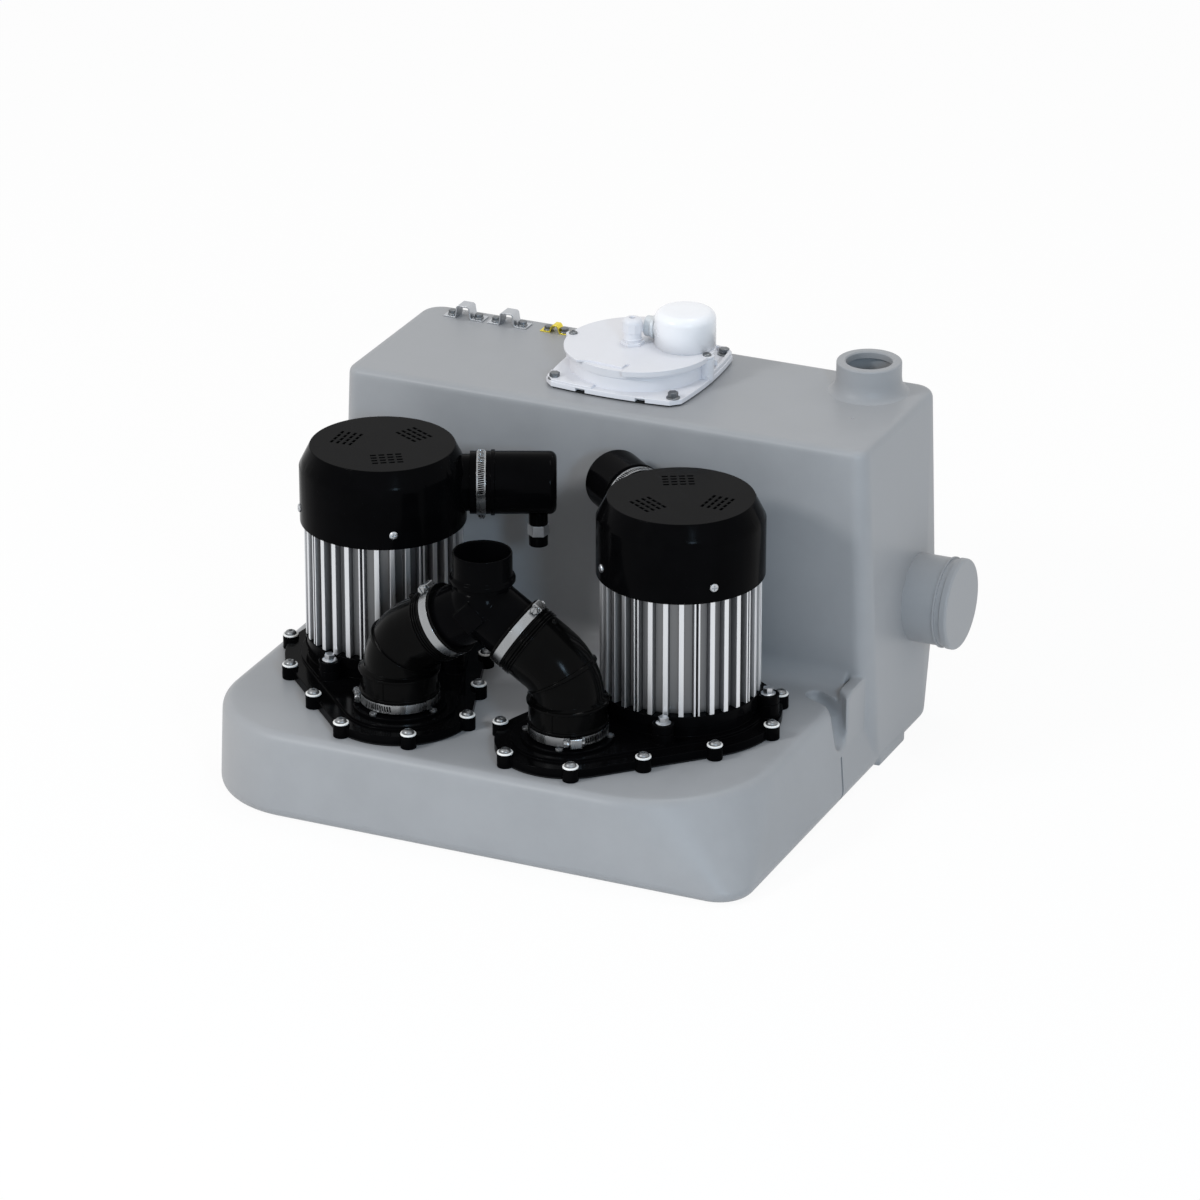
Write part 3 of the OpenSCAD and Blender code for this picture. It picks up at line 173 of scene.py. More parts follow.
# %% Finishes
def finish(name, colour, roughness, metallic=0.0, specular=0.5, grain=1.0, height=0.01,
           mottle=0.06, cloud=45, uneven=0.06, stretch=(1, 1, 1)):
    """A finish with a grain of some height and slow clouds of shade, all in millimetres."""
    made = bpy.data.materials.new(name)
    made.use_nodes = True
    tree = made.node_tree
    tree.nodes.clear()
    place = add(tree, "TexCoord").outputs["Object"]
    along = add(tree, "Mapping", {"Vector": place, "Scale": stretch}).outputs[0]
    fine = add(tree, "TexNoise", {"Vector": along, "Scale": 1000 / grain, "Detail": 3.0,
                                  "Roughness": 0.55}).outputs[0]
    slow = add(tree, "TexNoise", {"Vector": along, "Scale": 1000 / cloud, "Detail": 4.0,
                                  "Roughness": 0.6}).outputs[0]
    base = linear(colour)
    dark = [c * (1 - mottle) for c in base[:3]] + [1]
    pale = [min(c * (1 + mottle), 1) for c in base[:3]] + [1]
    shade = add(tree, "ValToRGB", {"Fac": slow})
    shade.color_ramp.elements[0].position = 0.35
    shade.color_ramp.elements[0].color = dark
    shade.color_ramp.elements[1].position = 0.65
    shade.color_ramp.elements[1].color = pale
    gloss = add(tree, "MapRange", {"Value": slow, "From Min": 0.3, "From Max": 0.7,
                                   "To Min": roughness - uneven, "To Max": roughness + uneven})
    bump = add(tree, "Bump", {"Height": fine, "Strength": 1.0, "Distance": height / 1000})
    body = add(tree, "BsdfPrincipled", {
        "Base Color": shade.outputs[0], "Roughness": gloss.outputs[0],
        "Normal": bump.outputs[0], "Metallic": metallic, "Specular IOR Level": specular})
    add(tree, "OutputMaterial", {"Surface": body.outputs[0]})
    return made


FINISHES = {
    # Polyethylene moulded in a turning oven: satin, with a soft orange-peel surface.
    "tank": finish("rotomoulded polyethylene", "9d9fa2", 0.42, grain=2.6, height=0.035,
                   mottle=0.03, cloud=70, uneven=0.05, specular=0.3),
    # Polypropylene from a polished mould: deep black, with gloss only where a lamp stands.
    "moulding": finish("black injection moulded polypropylene", "060607", 0.15, grain=1.6,
                       height=0.003, mottle=0.2, uneven=0.04, specular=0.015),
    # EPDM rubber from a steel mould, a little softer in its gloss than the plastic.
    "rubber": finish("moulded EPDM rubber", "060606", 0.16, grain=1.3, height=0.004,
                     mottle=0.2, uneven=0.05, specular=0.04),
    # Flat gasket rubber: matt black.
    "seal": finish("die cut EPDM gasket", "161616", 0.7, grain=0.8, height=0.02, mottle=0.1,
                   specular=0.2),
    # Extruded aluminium: very fine die lines run along the motor axis.
    "aluminium": finish("extruded aluminium", "cfd1d4", 0.42, metallic=1.0, grain=1.5,
                        height=0.004, mottle=0.025, cloud=14, uneven=0.04,
                        stretch=(1, 1, 0.02)),
    # ABS with a smooth white surface. The cap is the glossiest.
    "white": finish("white injection moulded ABS", "e0e1e6", 0.32, grain=1.8, height=0.004,
                    mottle=0.01, uneven=0.04, specular=0.3),
    "cap": finish("glossy white ABS", "f4f5f8", 0.25, grain=1.8, height=0.003,
                  mottle=0.008, uneven=0.04, specular=0.35),
    "grey": finish("grey injection moulded polypropylene", "d3d7da", 0.35, grain=1.6,
                   height=0.006, mottle=0.02, specular=0.4),
    "nylon": finish("white nylon", "f0f0ee", 0.38, grain=0.8, height=0.005, mottle=0.02),
    "inner": finish("glass filled polypropylene", "232527", 0.5, grain=1.0, height=0.02,
                    mottle=0.12, specular=0.3),
    # Zinc plated steel: a cool satin shine with faint clouds from the plating bath.
    "zinc": finish("zinc plated steel", "b9bcc0", 0.36, metallic=1.0, grain=1.2,
                   height=0.003, mottle=0.04, cloud=9, uneven=0.05),
    "bolt": finish("stainless screw steel", "7e8082", 0.4, metallic=1.0, grain=0.9,
                   height=0.003, mottle=0.06, cloud=6, uneven=0.06),
    # Darkened steel heads on the hatch and the clips.
    "dark": finish("blackened steel", "74777a", 0.38, metallic=1.0, grain=0.9,
                   height=0.004, mottle=0.08, cloud=5, uneven=0.06),
    "band": finish("rolled stainless steel", "97999b", 0.27, metallic=1.0, grain=1.4,
                   height=0.002, mottle=0.03, cloud=10, uneven=0.05, stretch=(1, 1, 0.2)),
    "chromate": finish("yellow chromated zinc", "e2cf4e", 0.36, metallic=1.0, grain=1.2,
                       height=0.003, mottle=0.08, cloud=7, uneven=0.06),
    "cast": finish("turned cast aluminium", "a9acb0", 0.45, metallic=1.0, grain=1.1,
                   height=0.01, mottle=0.06),
    # Stacked steel sheets: their edges show as lines 1 mm apart, coarser than the real 0.5 mm.
    "lamination": finish("varnished lamination steel", "6f7275", 0.5, metallic=1.0, grain=1.0,
                         height=0.05, mottle=0.1, stretch=(0.02, 0.02, 1)),
    # Enamelled copper wire in bundles that run up and down.
    "copper": finish("enamelled copper wire", "b0662c", 0.35, metallic=1.0, grain=1.6,
                     height=0.1, mottle=0.18, cloud=6, stretch=(1, 1, 0.1)),
}
print(len(FINISHES), "finishes")


# %% [markdown]
# ## Shade between the fins
# Little light gets down between the cooling fins, so painted shade darkens the aluminium's
# colour from the tips of the fins to the bottom of the gaps, and painted light brightens the
# tips.

# %% Painted shade by the distance from the motor's axis
def paint_shade_by_depth(made, axis_x, floor, tip, darkest, brightest):
    """Paints shade into a finish's colour by the distance from an upright axis, in metres."""
    tree = made.node_tree
    body = next(node for node in tree.nodes if node.type == "BSDF_PRINCIPLED")
    colour = body.inputs["Base Color"].links[0].from_socket
    place = add(tree, "SeparateXYZ", {0: add(tree, "TexCoord").outputs["Object"]}).outputs
    across = add(tree, "Math", {0: place["X"]}, operation="ABSOLUTE").outputs[0]
    across = add(tree, "Math", {0: across, 1: axis_x}, operation="SUBTRACT").outputs[0]
    flat = add(tree, "CombineXYZ", {"X": across, "Y": place["Y"]}).outputs[0]
    radius = add(tree, "VectorMath", {0: flat}, operation="LENGTH").outputs["Value"]
    share = add(tree, "MapRange", {"Value": radius, "From Min": floor, "From Max": tip,
                                   "To Min": darkest, "To Max": brightest}).outputs[0]
    scaled = add(tree, "VectorMath", {0: colour, "Scale": share}, operation="SCALE")
    tree.links.new(scaled.outputs["Vector"], body.inputs["Base Color"])


# Painted shade towards the gaps between the fins, painted light (above 1) at their tips.
paint_shade_by_depth(FINISHES["aluminium"], axis_x=0.1738, floor=0.077, tip=0.0855,
                 darkest=0.28, brightest=1.15)
print("fins shaded")

# %% [markdown]
# ## Helpers for pieces
# Shapes are drawn in millimetres and turned to metres when they become an object. A piece
# gets a small bevel on its sharp edges, because nothing moulded or machined has a perfect
# corner, and weighted normals, which keep its flat faces flat in the light.

# %% Make a piece
MM = 0.001
HOUSING = "housing"
TURN = math.tau


def dress(shape, name, body, surface, nodes=(), bevel=0.5, crease=30, segments=2):
    """Turns a bmesh in metres into a finished piece that stands for the given CAD nodes."""
    mesh = bpy.data.meshes.new(name)
    shape.to_mesh(mesh)
    shape.free()
    mesh.polygons.foreach_set("use_smooth", [True] * len(mesh.polygons))
    mesh.materials.append(FINISHES[surface])
    piece = bpy.data.objects.new(name, mesh)
    scene.collection.objects.link(piece)
    if bevel:
        edge = piece.modifiers.new("rounded edges", "BEVEL")
        edge.width = bevel * MM
        edge.segments = segments
        edge.limit_method = "ANGLE"
        edge.angle_limit = math.radians(crease)
        edge.use_clamp_overlap = False
        piece.modifiers.new("even light", "WEIGHTED_NORMAL")
    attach(piece, body)
    if nodes:
        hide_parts(*nodes)
    return piece


def cad_copy(node):
    """A copy of a CAD node's mesh with its loose triangles merged and flat faces joined."""
    shape = bmesh.new()
    shape.from_mesh(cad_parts[node].data)
    bmesh.ops.remove_doubles(shape, verts=shape.verts, dist=0.002 * MM)
    bmesh.ops.dissolve_limit(shape, angle_limit=math.radians(0.3), verts=shape.verts,
                             edges=shape.edges, use_dissolve_boundaries=False)
    return shape


def metres(shape, place=None):
    """Scales a shape drawn in millimetres to metres, after putting it in its place."""
    if place is not None:
        bmesh.ops.transform(shape, matrix=place, verts=shape.verts)
    bmesh.ops.scale(shape, vec=(MM, MM, MM), verts=shape.verts)
    bmesh.ops.recalc_face_normals(shape, faces=shape.faces)
    return shape


def turned(profile, steps=64, closed=False):
    """Spins a profile of (radius, height) points about Z, in millimetres."""
    shape = bmesh.new()
    points = [shape.verts.new((r, 0, z)) for r, z in profile]
    pairs = list(zip(points, points[1:] + points[:1]))[:len(points) if closed else -1]
    lines = [shape.edges.new(pair) for pair in pairs]
    bmesh.ops.spin(shape, geom=points + lines, cent=(0, 0, 0), axis=(0, 0, 1),
                   angle=TURN, steps=steps, use_merge=True)
    bmesh.ops.remove_doubles(shape, verts=shape.verts, dist=0.001)
    bmesh.ops.recalc_face_normals(shape, faces=shape.faces)
    return shape


def repeated(shape, places):
    """One copy of a shape at each place, all in one mesh."""
    pattern = bpy.data.meshes.new("pattern")
    shape.to_mesh(pattern)
    shape.free()
    whole = bmesh.new()
    for place in places:
        first = len(whole.verts)
        whole.from_mesh(pattern)
        whole.verts.ensure_lookup_table()
        bmesh.ops.transform(whole, matrix=place, verts=whole.verts[first:])
    bpy.data.meshes.remove(pattern)
    return whole


def joined(*shapes):
    """Puts several shapes into the first one."""
    whole = shapes[0]
    for shape in shapes[1:]:
        extra = bpy.data.meshes.new("extra")
        shape.to_mesh(extra)
        shape.free()
        whole.from_mesh(extra)
        bpy.data.meshes.remove(extra)
    return whole


def applied(shape, *modifiers):
    """The mesh of a shape after modifiers given as (kind, settings)."""
    mesh = bpy.data.meshes.new("raw")
    shape.to_mesh(mesh)
    shape.free()
    holder = bpy.data.objects.new("raw", mesh)
    scene.collection.objects.link(holder)
    for kind, settings in modifiers:
        modifier = holder.modifiers.new(kind.lower(), kind)
        for name, value in settings.items():
            setattr(modifier, name, value)
    graph = bpy.context.evaluated_depsgraph_get()
    result = bmesh.new()
    result.from_object(holder, graph)
    bpy.data.objects.remove(holder)
    bpy.data.meshes.remove(mesh)
    return result


def as_helper(shape):
    """A helper object for a modifier to look at. The shape stays open for more work."""
    mesh = bpy.data.meshes.new("helper")
    shape.to_mesh(mesh)
    helper = bpy.data.objects.new("helper", mesh)
    scene.collection.objects.link(helper)
    return helper


def combined(shape, tool, operation="DIFFERENCE"):
    """The exact boolean of two closed shapes in the same unit."""
    helper = as_helper(tool)
    tool.free()
    result = applied(shape, ("BOOLEAN", {"operation": operation, "object": helper,
                                         "solver": "EXACT"}))
    bpy.data.objects.remove(helper)
    return result


def melted(shape, voxel, rounds, kept):
    """One soft skin round overlapping forms: remeshed, laid on them, smoothed and thinned
    to the kept share of its faces."""
    helper = as_helper(shape)
    result = applied(
        shape, ("REMESH", {"mode": "VOXEL", "voxel_size": voxel}),
        ("SHRINKWRAP", {"target": helper, "wrap_method": "NEAREST_SURFACEPOINT"}),
        ("SMOOTH", {"factor": 0.5, "iterations": rounds}),
        ("DECIMATE", {"ratio": kept}))
    bpy.data.objects.remove(helper)
    return result


def stick(sides, radius, low, high):
    """A straight bar about Z with the given number of sides."""
    shape = bmesh.new()
    bmesh.ops.create_cone(shape, cap_ends=True, segments=sides, radius1=radius,
                          radius2=radius, depth=high - low,
                          matrix=Matrix.Translation((0, 0, (low + high) / 2)))
    return shape


def block(low, high):
    """A box between two corners."""
    low, high = Vector(low), Vector(high)
    shape = bmesh.new()
    bmesh.ops.create_cube(shape, size=1, matrix=Matrix.Translation((low + high) / 2)
                          @ Matrix.Diagonal((*(high - low), 1)))
    return shape


def plate(outline, low, high):
    """A flat piece with an outline of (x, y) points."""
    shape = bmesh.new()
    face = shape.faces.new([shape.verts.new((x, y, low)) for x, y in outline])
    grown = bmesh.ops.extrude_face_region(shape, geom=[face])["geom"]
    bmesh.ops.translate(shape, vec=(0, 0, high - low),
                        verts=[g for g in grown if isinstance(g, bmesh.types.BMVert)])
    bmesh.ops.recalc_face_normals(shape, faces=shape.faces)
    return shape


def moved(shape, place):
    """The same shape in another place."""
    bmesh.ops.transform(shape, matrix=place, verts=shape.verts)
    if place.determinant() < 0:
        bmesh.ops.reverse_faces(shape, faces=shape.faces)
    return shape


def tube_along(stations, sides=96):
    """A skin through circles given as (place, radius). The last circle is the first again,
    so the outside and the inside of a tube close into one wall."""
    shape = bmesh.new()
    place, radius = stations[0]
    made = bmesh.ops.create_circle(shape, segments=sides, radius=radius, matrix=place)
    edges = list({edge for vert in made["verts"] for edge in vert.link_edges})
    for next_place, next_radius in stations[1:]:
        grown = bmesh.ops.extrude_edge_only(shape, edges=edges)["geom"]
        verts = [g for g in grown if isinstance(g, bmesh.types.BMVert)]
        new = set(verts)
        edges = [g for g in grown if isinstance(g, bmesh.types.BMEdge)
                 and all(vert in new for vert in g.verts)]
        bmesh.ops.transform(shape, verts=verts, matrix=next_place
                            @ Matrix.Scale(next_radius / radius, 4) @ place.inverted())
        place, radius = next_place, next_radius
    bmesh.ops.remove_doubles(shape, verts=shape.verts, dist=0.001)
    bmesh.ops.recalc_face_normals(shape, faces=shape.faces)
    return shape


def shift(x=0, y=0, z=0):
    return Matrix.Translation((x, y, z))


def rotate(degrees, axis="Z"):
    return Matrix.Rotation(math.radians(degrees), 4, axis)


# %% Places on the object, in millimetres as in the CAD source
LEFT, RIGHT = -1, 1
SIDES = {"left": LEFT, "right": RIGHT}
PUMP_SPACING = 347.6
PUMP_TURN = 32.2
OUTLET_REACH = 142.3
OUTLET_X = PUMP_SPACING / 2 - OUTLET_REACH * math.sin(math.radians(PUMP_TURN))
OUTLET_Y = -OUTLET_REACH * math.cos(math.radians(PUMP_TURN))
DECK, BOSS_TOP, MOTOR_BOTTOM = 98, 113, 136.5
FLANGE_TOP, SLEEVE_LOW, SLEEVE_TOP = 116, 118.5, 156
BEND_R, BEND_ANGLE = 50, 57
WYE_Z = 246.77
ARM_SHOW = 41.7
CAP_Z = 308
CLAMP_Z, CAP_CLAMP = 124, 105.5
SLEEVE_R, ARM_R, CAP_R = 41.7, 38.7, 34.1
MOTOR_BOLT_R, COVER_R, COVER_SCREW_Z = 94.6, 89.7, 284


def at_pump(side):
    """The axis of one motor, with +X towards its outlet."""
    return shift(side * PUMP_SPACING / 2) @ rotate(-90 - side * PUMP_TURN)


def mirrored(side, place):
    """A place made for the right side, mirrored for the left."""
    return place if side == RIGHT else Matrix.Scale(-1, 4, (1, 0, 0)) @ place


def at_arm(side):
    """A sloping arm of the Y-piece, with +Z away from its middle."""
    return mirrored(side, shift(0, OUTLET_Y, WYE_Z) @ rotate(180 - BEND_ANGLE, "Y"))


def at_cap(side):
    """A capacitor housing, with +Z away from its motor and +X straight down."""
    return (shift(side * PUMP_SPACING / 2, 0, CAP_Z)
            @ rotate(24 if side == LEFT else 139) @ rotate(90, "Y"))


print("outlets at", round(OUTLET_X, 1), round(OUTLET_Y, 1))

# %% [markdown]
# ## Tank skin
# The tank is moulded in a turning oven, so every edge and inner corner is soft. The solids
# give its forms: a low deck, a tower, a hollow between them, a shoulder with a channel round
# it and a foot. Each is drawn as the hull of rounded corner discs or as a profile. Booleans
# join them, and a voxel remesh that is laid back on them and smoothed melts their edges, as
# the plastic does in its mould.

# %% Forms of the tank
WAIST, TOWER_TOP, HEEL = 125, 369, 318
WALL_X, FACE_Y = 329.5, 141
TOP_SPIGOT = shift(257.5, 316)
SIDE_SPIGOT = shift(0, 285.5, 150.5) @ rotate(90, "Y")


def disc_hull(corners):
    """The hull of discs with rounded rims: (x, y, z, radius, fillet, up) in millimetres."""
    shape = bmesh.new()
    for x, y, z, radius, fillet, up in corners:
        for step in range(7):
            angle = math.radians(15 * step)
            level = z - up * fillet + up * fillet * math.sin(angle)
            bmesh.ops.create_circle(
                shape, segments=96, radius=radius - fillet + fillet * math.cos(angle),
                matrix=shift(x, y, level))
    hull = bmesh.ops.convex_hull(shape, input=shape.verts)
    inner = [g for g in hull["geom_interior"] if isinstance(g, bmesh.types.BMVert)]
    bmesh.ops.delete(shape, geom=inner, context="VERTS")
    loose = [e for e in shape.edges if not e.link_faces]
    bmesh.ops.delete(shape, geom=loose, context="EDGES")
    return shape


def box_corners(left, right, front, back, z, radii, fillet, up):
    """Discs at the four corners of a level outline; radii run front left, front right, back."""
    a, b, c = radii
    return [(left + a, front + a, z, a, fillet, up), (right - b, front + b, z, b, fillet, up),
            (right - c, back - c, z, c, fillet, up), (left + c, back - c, z, c, fillet, up)]


def prism(outline, x0, x1):
    """A bar along X with an outline of (y, z) points."""
    return moved(plate(outline, x0, x1), Matrix(((0, 0, 1, 0), (1, 0, 0, 0), (0, 1, 0, 0),
                                                 (0, 0, 0, 1))))


deck = disc_hull(
    box_corners(-306, 317, -217, HEEL + 16, DECK, (116, 140, 25), 12.5, 1)
    + box_corners(-303, 337, -220, HEEL, 0, (104, 40, 25), 12.5, -1))
tower = disc_hull(
    box_corners(-290, 322.5, 144, 361, TOWER_TOP, (16, 16, 25), 8, 1)
    + box_corners(-297, WALL_X, FACE_Y, 363, WAIST, (16, 16, 25), 1, -1)
    + box_corners(-303, 337, FACE_Y, HEEL, 0, (16, 25, 25), 12.5, -1))
COVE = 24
hollow = [(FACE_Y - COVE * (1 - math.sin(a)), DECK + COVE * (1 - math.cos(a)))
          for a in (math.radians(11.25 * k) for k in range(9))]
cove = prism([(143.5, DECK - 2), (FACE_Y - COVE, DECK - 2)] + hollow
             + [(143.5, DECK + COVE)], -275, 307.5)
shoulder = prism([(157, 45), (92, 45), (92, 99), (99, 107), (112, 111), (157, 111)],
                 WALL_X - 17, WALL_X - 3)
foot = block((298, 165, 0), (338, 238, 11))
raw = deck
for form in (tower, cove, shoulder, foot):
    raw = combined(raw, form, "UNION")

CHANNEL = [(352.5, 81, 50), (326.5, 81, 54), (310.5, 97, 78), (283.5, 110, 87)]
for (x0, y0, z0), (x1, y1, z1) in zip(CHANNEL, CHANNEL[1:]):
    raw = combined(raw, disc_hull([(x0, y0, z0, 10, 6, -1), (x0, y0, 136, 10, 1, 1),
                                   (x1, y1, z1, 10, 6, -1), (x1, y1, 136, 10, 1, 1)]))
print("forms joined:", len(raw.faces), "faces")

# %% Melt the forms into one skin
VOXEL = 2.5
skin = melted(raw, VOXEL, rounds=4, kept=0.28)
slit = prism([(75.8, 46.5), (79.8, 46.5), (65.4, 15.1), (55, -3), (49, -3), (61.4, 15.1)],
             308, 360)
skin = combined(skin, slit)
skin = combined(skin, moved(stick(96, 30, 340, 380), TOP_SPIGOT))
dimple = bmesh.new()
bmesh.ops.create_uvsphere(dimple, u_segments=16, v_segments=10, radius=2,
                          matrix=shift(272, 234, TOWER_TOP + 0.9))
skin = combined(skin, dimple)
tank = dress(metres(skin), "tank_skin", HOUSING, "tank", ["tank"], bevel=0)
tank.data.set_sharp_from_angle(angle=math.radians(40))
print("tank skin:", len(tank.data.polygons), "faces")

# %% [markdown]
# ## Spigots
# Both spigots are turned profiles. The one on top has a thick rim with a bore, a hollow neck
# below it and a flared foot. The one on the side is closed until the fitter cuts it open. A
# ring and a rounded rim, with a groove between them, hold the sleeve that goes over it.

# %% Turned spigots
def arc_points(centre, radius, first, last, steps=6):
    """Points along an arc in a profile, angles in degrees."""
    return [(centre[0] + radius * math.cos(math.radians(first + (last - first) * k / steps)),
             centre[1] + radius * math.sin(math.radians(first + (last - first) * k / steps)))
            for k in range(steps + 1)]


top_spigot = turned(
    [(30.6, 364), (46, 364), (46, 368.6), (43.5, 369.3), (40.5, 371.5), (38, 375),
     (36.3, 380), (35.6, 386)] + arc_points((33.4, 401.8), 2.2, 0, 90)
    + [(26.8, 404), (25.2, 402.6), (25.2, 396), (30.6, 394)], 128, closed=True)
dress(metres(top_spigot, TOP_SPIGOT), "top_spigot", HOUSING, "tank",
      ["tank"], bevel=0.4, crease=40)
END = 383
side_spigot = turned(
    [(0, 300), (48.5, 300), (48.5, END - 17), (50.3, END - 16.7), (50.3, END - 14.5),
     (48, END - 14.2), (48, END - 8.6), (50.3, END - 8.2)]
    + arc_points((47.3, END - 3), 3, 0, 90) + [(0, END)], 128)
dress(metres(side_spigot, SIDE_SPIGOT), "side_spigot", HOUSING, "tank",
      ["tank"], bevel=0.3, crease=40)
print("spigots stand on the skin")

# %% [markdown]
# ## Fasteners
# Small heads carry a lot of the look, so each kind is modelled once and repeated: domed
# screws with a hex socket in white cup washers, hex flange bolts, and pan heads with a cross.

# %% One head of each kind
def domed_head(radius, height, socket):
    """A domed head standing on z = 0, with a hex socket in its top."""
    head = turned([(0, -1), (radius, -1), (radius, height * 0.25),
                   (radius * 0.93, height * 0.5), (radius * 0.76, height * 0.78),
                   (radius * 0.5, height * 0.95), (0, height)], 32)
    return combined(head, stick(6, socket, height * 0.55, height + 1))


def flange_bolt(across, height, flange):
    """A hex head with a washer face below it, standing on z = 0."""
    hexagon = stick(6, across / math.sqrt(3), 0.5, height)
    face = turned([(0, -0.5), (flange, -0.5), (flange, 0.6), (across * 0.55, 1.7), (0, 1.7)],
                  40)
    crown = turned([(0, height - 1), (across * 0.49, height - 0.4),
                    (across * 0.4, height + 0.3), (0, height + 0.3)], 32)
    return joined(hexagon, face, crown)


def cross_head(radius, height):
    """A pan head standing on z = 0, with a cross recess."""
    head = turned([(0, -0.5), (radius, -0.5), (radius, height * 0.45),
                   (radius * 0.8, height * 0.85), (radius * 0.4, height), (0, height)], 40)
    arm = radius * 0.62
    for low, high in (((-arm, -0.45), (arm, 0.45)), ((-0.45, -arm), (0.45, arm))):
        head = combined(head, block((*low, height * 0.4), (*high, height + 1)))
    return head


# %% Bolts of the pump plates
PLATE_R, PLATE_OUTLET_R = 109, 77.7
TANGENT = math.acos((PLATE_R - PLATE_OUTLET_R) / OUTLET_REACH)
RUN = 0.61 * OUTLET_REACH * math.sin(TANGENT)
plate_bolts = [(OUTLET_REACH + (PLATE_OUTLET_R + 1) * math.cos(a),
                (PLATE_OUTLET_R + 1) * math.sin(a))
               for a in map(math.radians, (-58.5, 0, 58.5))]
for side in (LEFT, RIGHT):
    plate_bolts.append(((PLATE_R + 1) * math.cos(TANGENT) + RUN * math.sin(TANGENT),
                        side * ((PLATE_R + 1) * math.sin(TANGENT)
                                - RUN * math.cos(TANGENT))))
    plate_bolts += [((PLATE_R + 1) * math.cos(math.radians(a)),
                     side * (PLATE_R + 1) * math.sin(math.radians(a)))
                    for a in (75, 117, 159)]
bolt_places = [at_pump(side) @ shift(x, y, BOSS_TOP)
               for side in SIDES.values() for x, y in plate_bolts]
cup = turned([(3.6, 0), (8.3, 0), (8.5, 0.6), (8.3, 1.6), (7.4, 2.1), (6.6, 1.5), (3.6, 1.5)],
             48, closed=True)
dress(metres(repeated(cup, bolt_places)), "plate_cups", HOUSING, "nylon",
      ["plate_washers"], bevel=0.15)
dress(metres(repeated(domed_head(6.3, 4.4, 2.2), [p @ shift(0, 0, 1.4) for p in bolt_places])),
      "plate_heads", HOUSING, "bolt", ["plate_bolts"], bevel=0.15)
print(len(bolt_places), "plate bolts")

# %% Motor bolts, outlet screws and cover screws
motor_places = [at_pump(side) @ rotate(a) @ shift(MOTOR_BOLT_R, 0, MOTOR_BOTTOM - 2.5)
                for side in SIDES.values() for a in (45, 135, 225, 315)]
dress(metres(repeated(flange_bolt(10, 6.6, 8.1), motor_places)), "motor_heads", HOUSING,
      "zinc", ["motor_bolts"], bevel=0.25)
outlet_places = [at_pump(side) @ shift(OUTLET_REACH) @ rotate(a) @ shift(45, 0, FLANGE_TOP)
                 for side in SIDES.values() for a in (45, 135, 225, 315)]
dress(metres(repeated(combined(stick(32, 4.2, -0.5, 2.3), stick(6, 1.7, 1, 4)),
                      outlet_places)), "outlet_heads", HOUSING, "bolt",
      ["outlet_screws"], bevel=0.3)
cover_places = [shift(side * PUMP_SPACING / 2, 0, COVER_SCREW_Z) @ rotate(first + turn)
                @ rotate(90, "Y") @ shift(0, 0, COVER_R)
                for side, first, turns in ((LEFT, -57, (0, 180, 270)),
                                           (RIGHT, -44, (0, 90, 270)))
                for turn in turns]
dress(metres(repeated(cross_head(4.6, 2.3), cover_places)), "cover_heads", HOUSING,
      "zinc", ["cover_screws"], bevel=0.15)
print(len(motor_places), "motor bolts,", len(outlet_places), "outlet screws,",
      len(cover_places), "cover screws")

# %% [markdown]
# ## Hose clamps
# A worm drive clamp is a steel band whose tail has slanted slots. A housing holds a screw
# that grips the slots. The band is turned, the slots are cut, and the screw gets its hex head
# with a slot for a screwdriver.

# %% One clamp of any radius
def hose_clamp(radius, width=10, tail=65, pitch=2.8):
    """A clamp about +Z with its housing at +X. Slots run over the tail's angle in degrees."""
    half = width / 2
    band = turned([(radius, -half), (radius + 1, -half), (radius + 1, half),
                   (radius, half)], 120, closed=True)
    step = math.degrees(pitch / radius)
    slot = moved(block((radius - 1, -0.7, -3.3), (radius + 3, 0.7, 3.3)), rotate(9, "X"))
    turns = [rotate(12 + step * k) for k in range(round(tail / step))]
    band = combined(band, repeated(slot, turns))
    saddle = block((radius + 0.6, -6.5, -half - 0.7), (radius + 6.6, 6.5, half + 0.7))
    bmesh.ops.bevel(saddle, geom=[e for e in saddle.edges if all(
        v.co.x > radius + 2 for v in e.verts) or abs(e.verts[0].co.z - e.verts[1].co.z) > 1],
        offset=1.4, segments=3, profile=0.5, affect="EDGES", material=-1)
    lip = block((radius + 0.9, -9.5, -half + 0.4), (radius + 1.9, 9.5, half - 0.4))
    screw = [(0, -9)] + [(3.1 if k % 2 else 2.5, -9 + 0.75 * k) for k in range(25)] + [(0, 9)]
    worm = moved(turned(screw, 24), shift(radius + 3.6) @ rotate(90, "X"))
    head = combined(joined(stick(6, 4.0, 9, 13.4), stick(24, 4.3, 8.4, 9.6)),
                    block((-5, -0.5, 12), (5, 0.5, 15)))
    return joined(band, saddle, lip, worm,
                  moved(head, shift(radius + 3.6) @ rotate(90, "X")))


# %% Six clamps
lower = [shift(side * OUTLET_X, OUTLET_Y, CLAMP_Z) @ rotate(turn)
         for side, turn in ((LEFT, -152), (RIGHT, -55))]
dress(metres(repeated(hose_clamp(SLEEVE_R), lower)), "lower_clamp_bands", HOUSING,
      "band", ["lower_clamps"], bevel=0.2)
upper = [at_arm(side) @ shift(0, 0, ARM_SHOW + 8.5) @ rotate(180) @ rotate(180, "X")
         for side in SIDES.values()]
dress(metres(repeated(hose_clamp(ARM_R), upper)), "upper_clamp_bands", HOUSING,
      "band", ["upper_clamps"], bevel=0.2)
around = [at_cap(side) @ shift(0, 0, CAP_CLAMP) @ rotate(20) for side in SIDES.values()]
dress(metres(repeated(hose_clamp(CAP_R, tail=238, pitch=2.3), around)),
      "capacitor_clamp_bands", HOUSING, "band", ["capacitor_clamps"], bevel=0.2)
print("six hose clamps")

# %% [markdown]
# ## Rubber bends
# Each bend is one moulded piece of rubber: a straight sleeve, a bend and a cuff. A circle is
# extruded from station to station along the centre line, wider at the ribs that the mould
# leaves, then back along the inside, so the wall closes on itself.

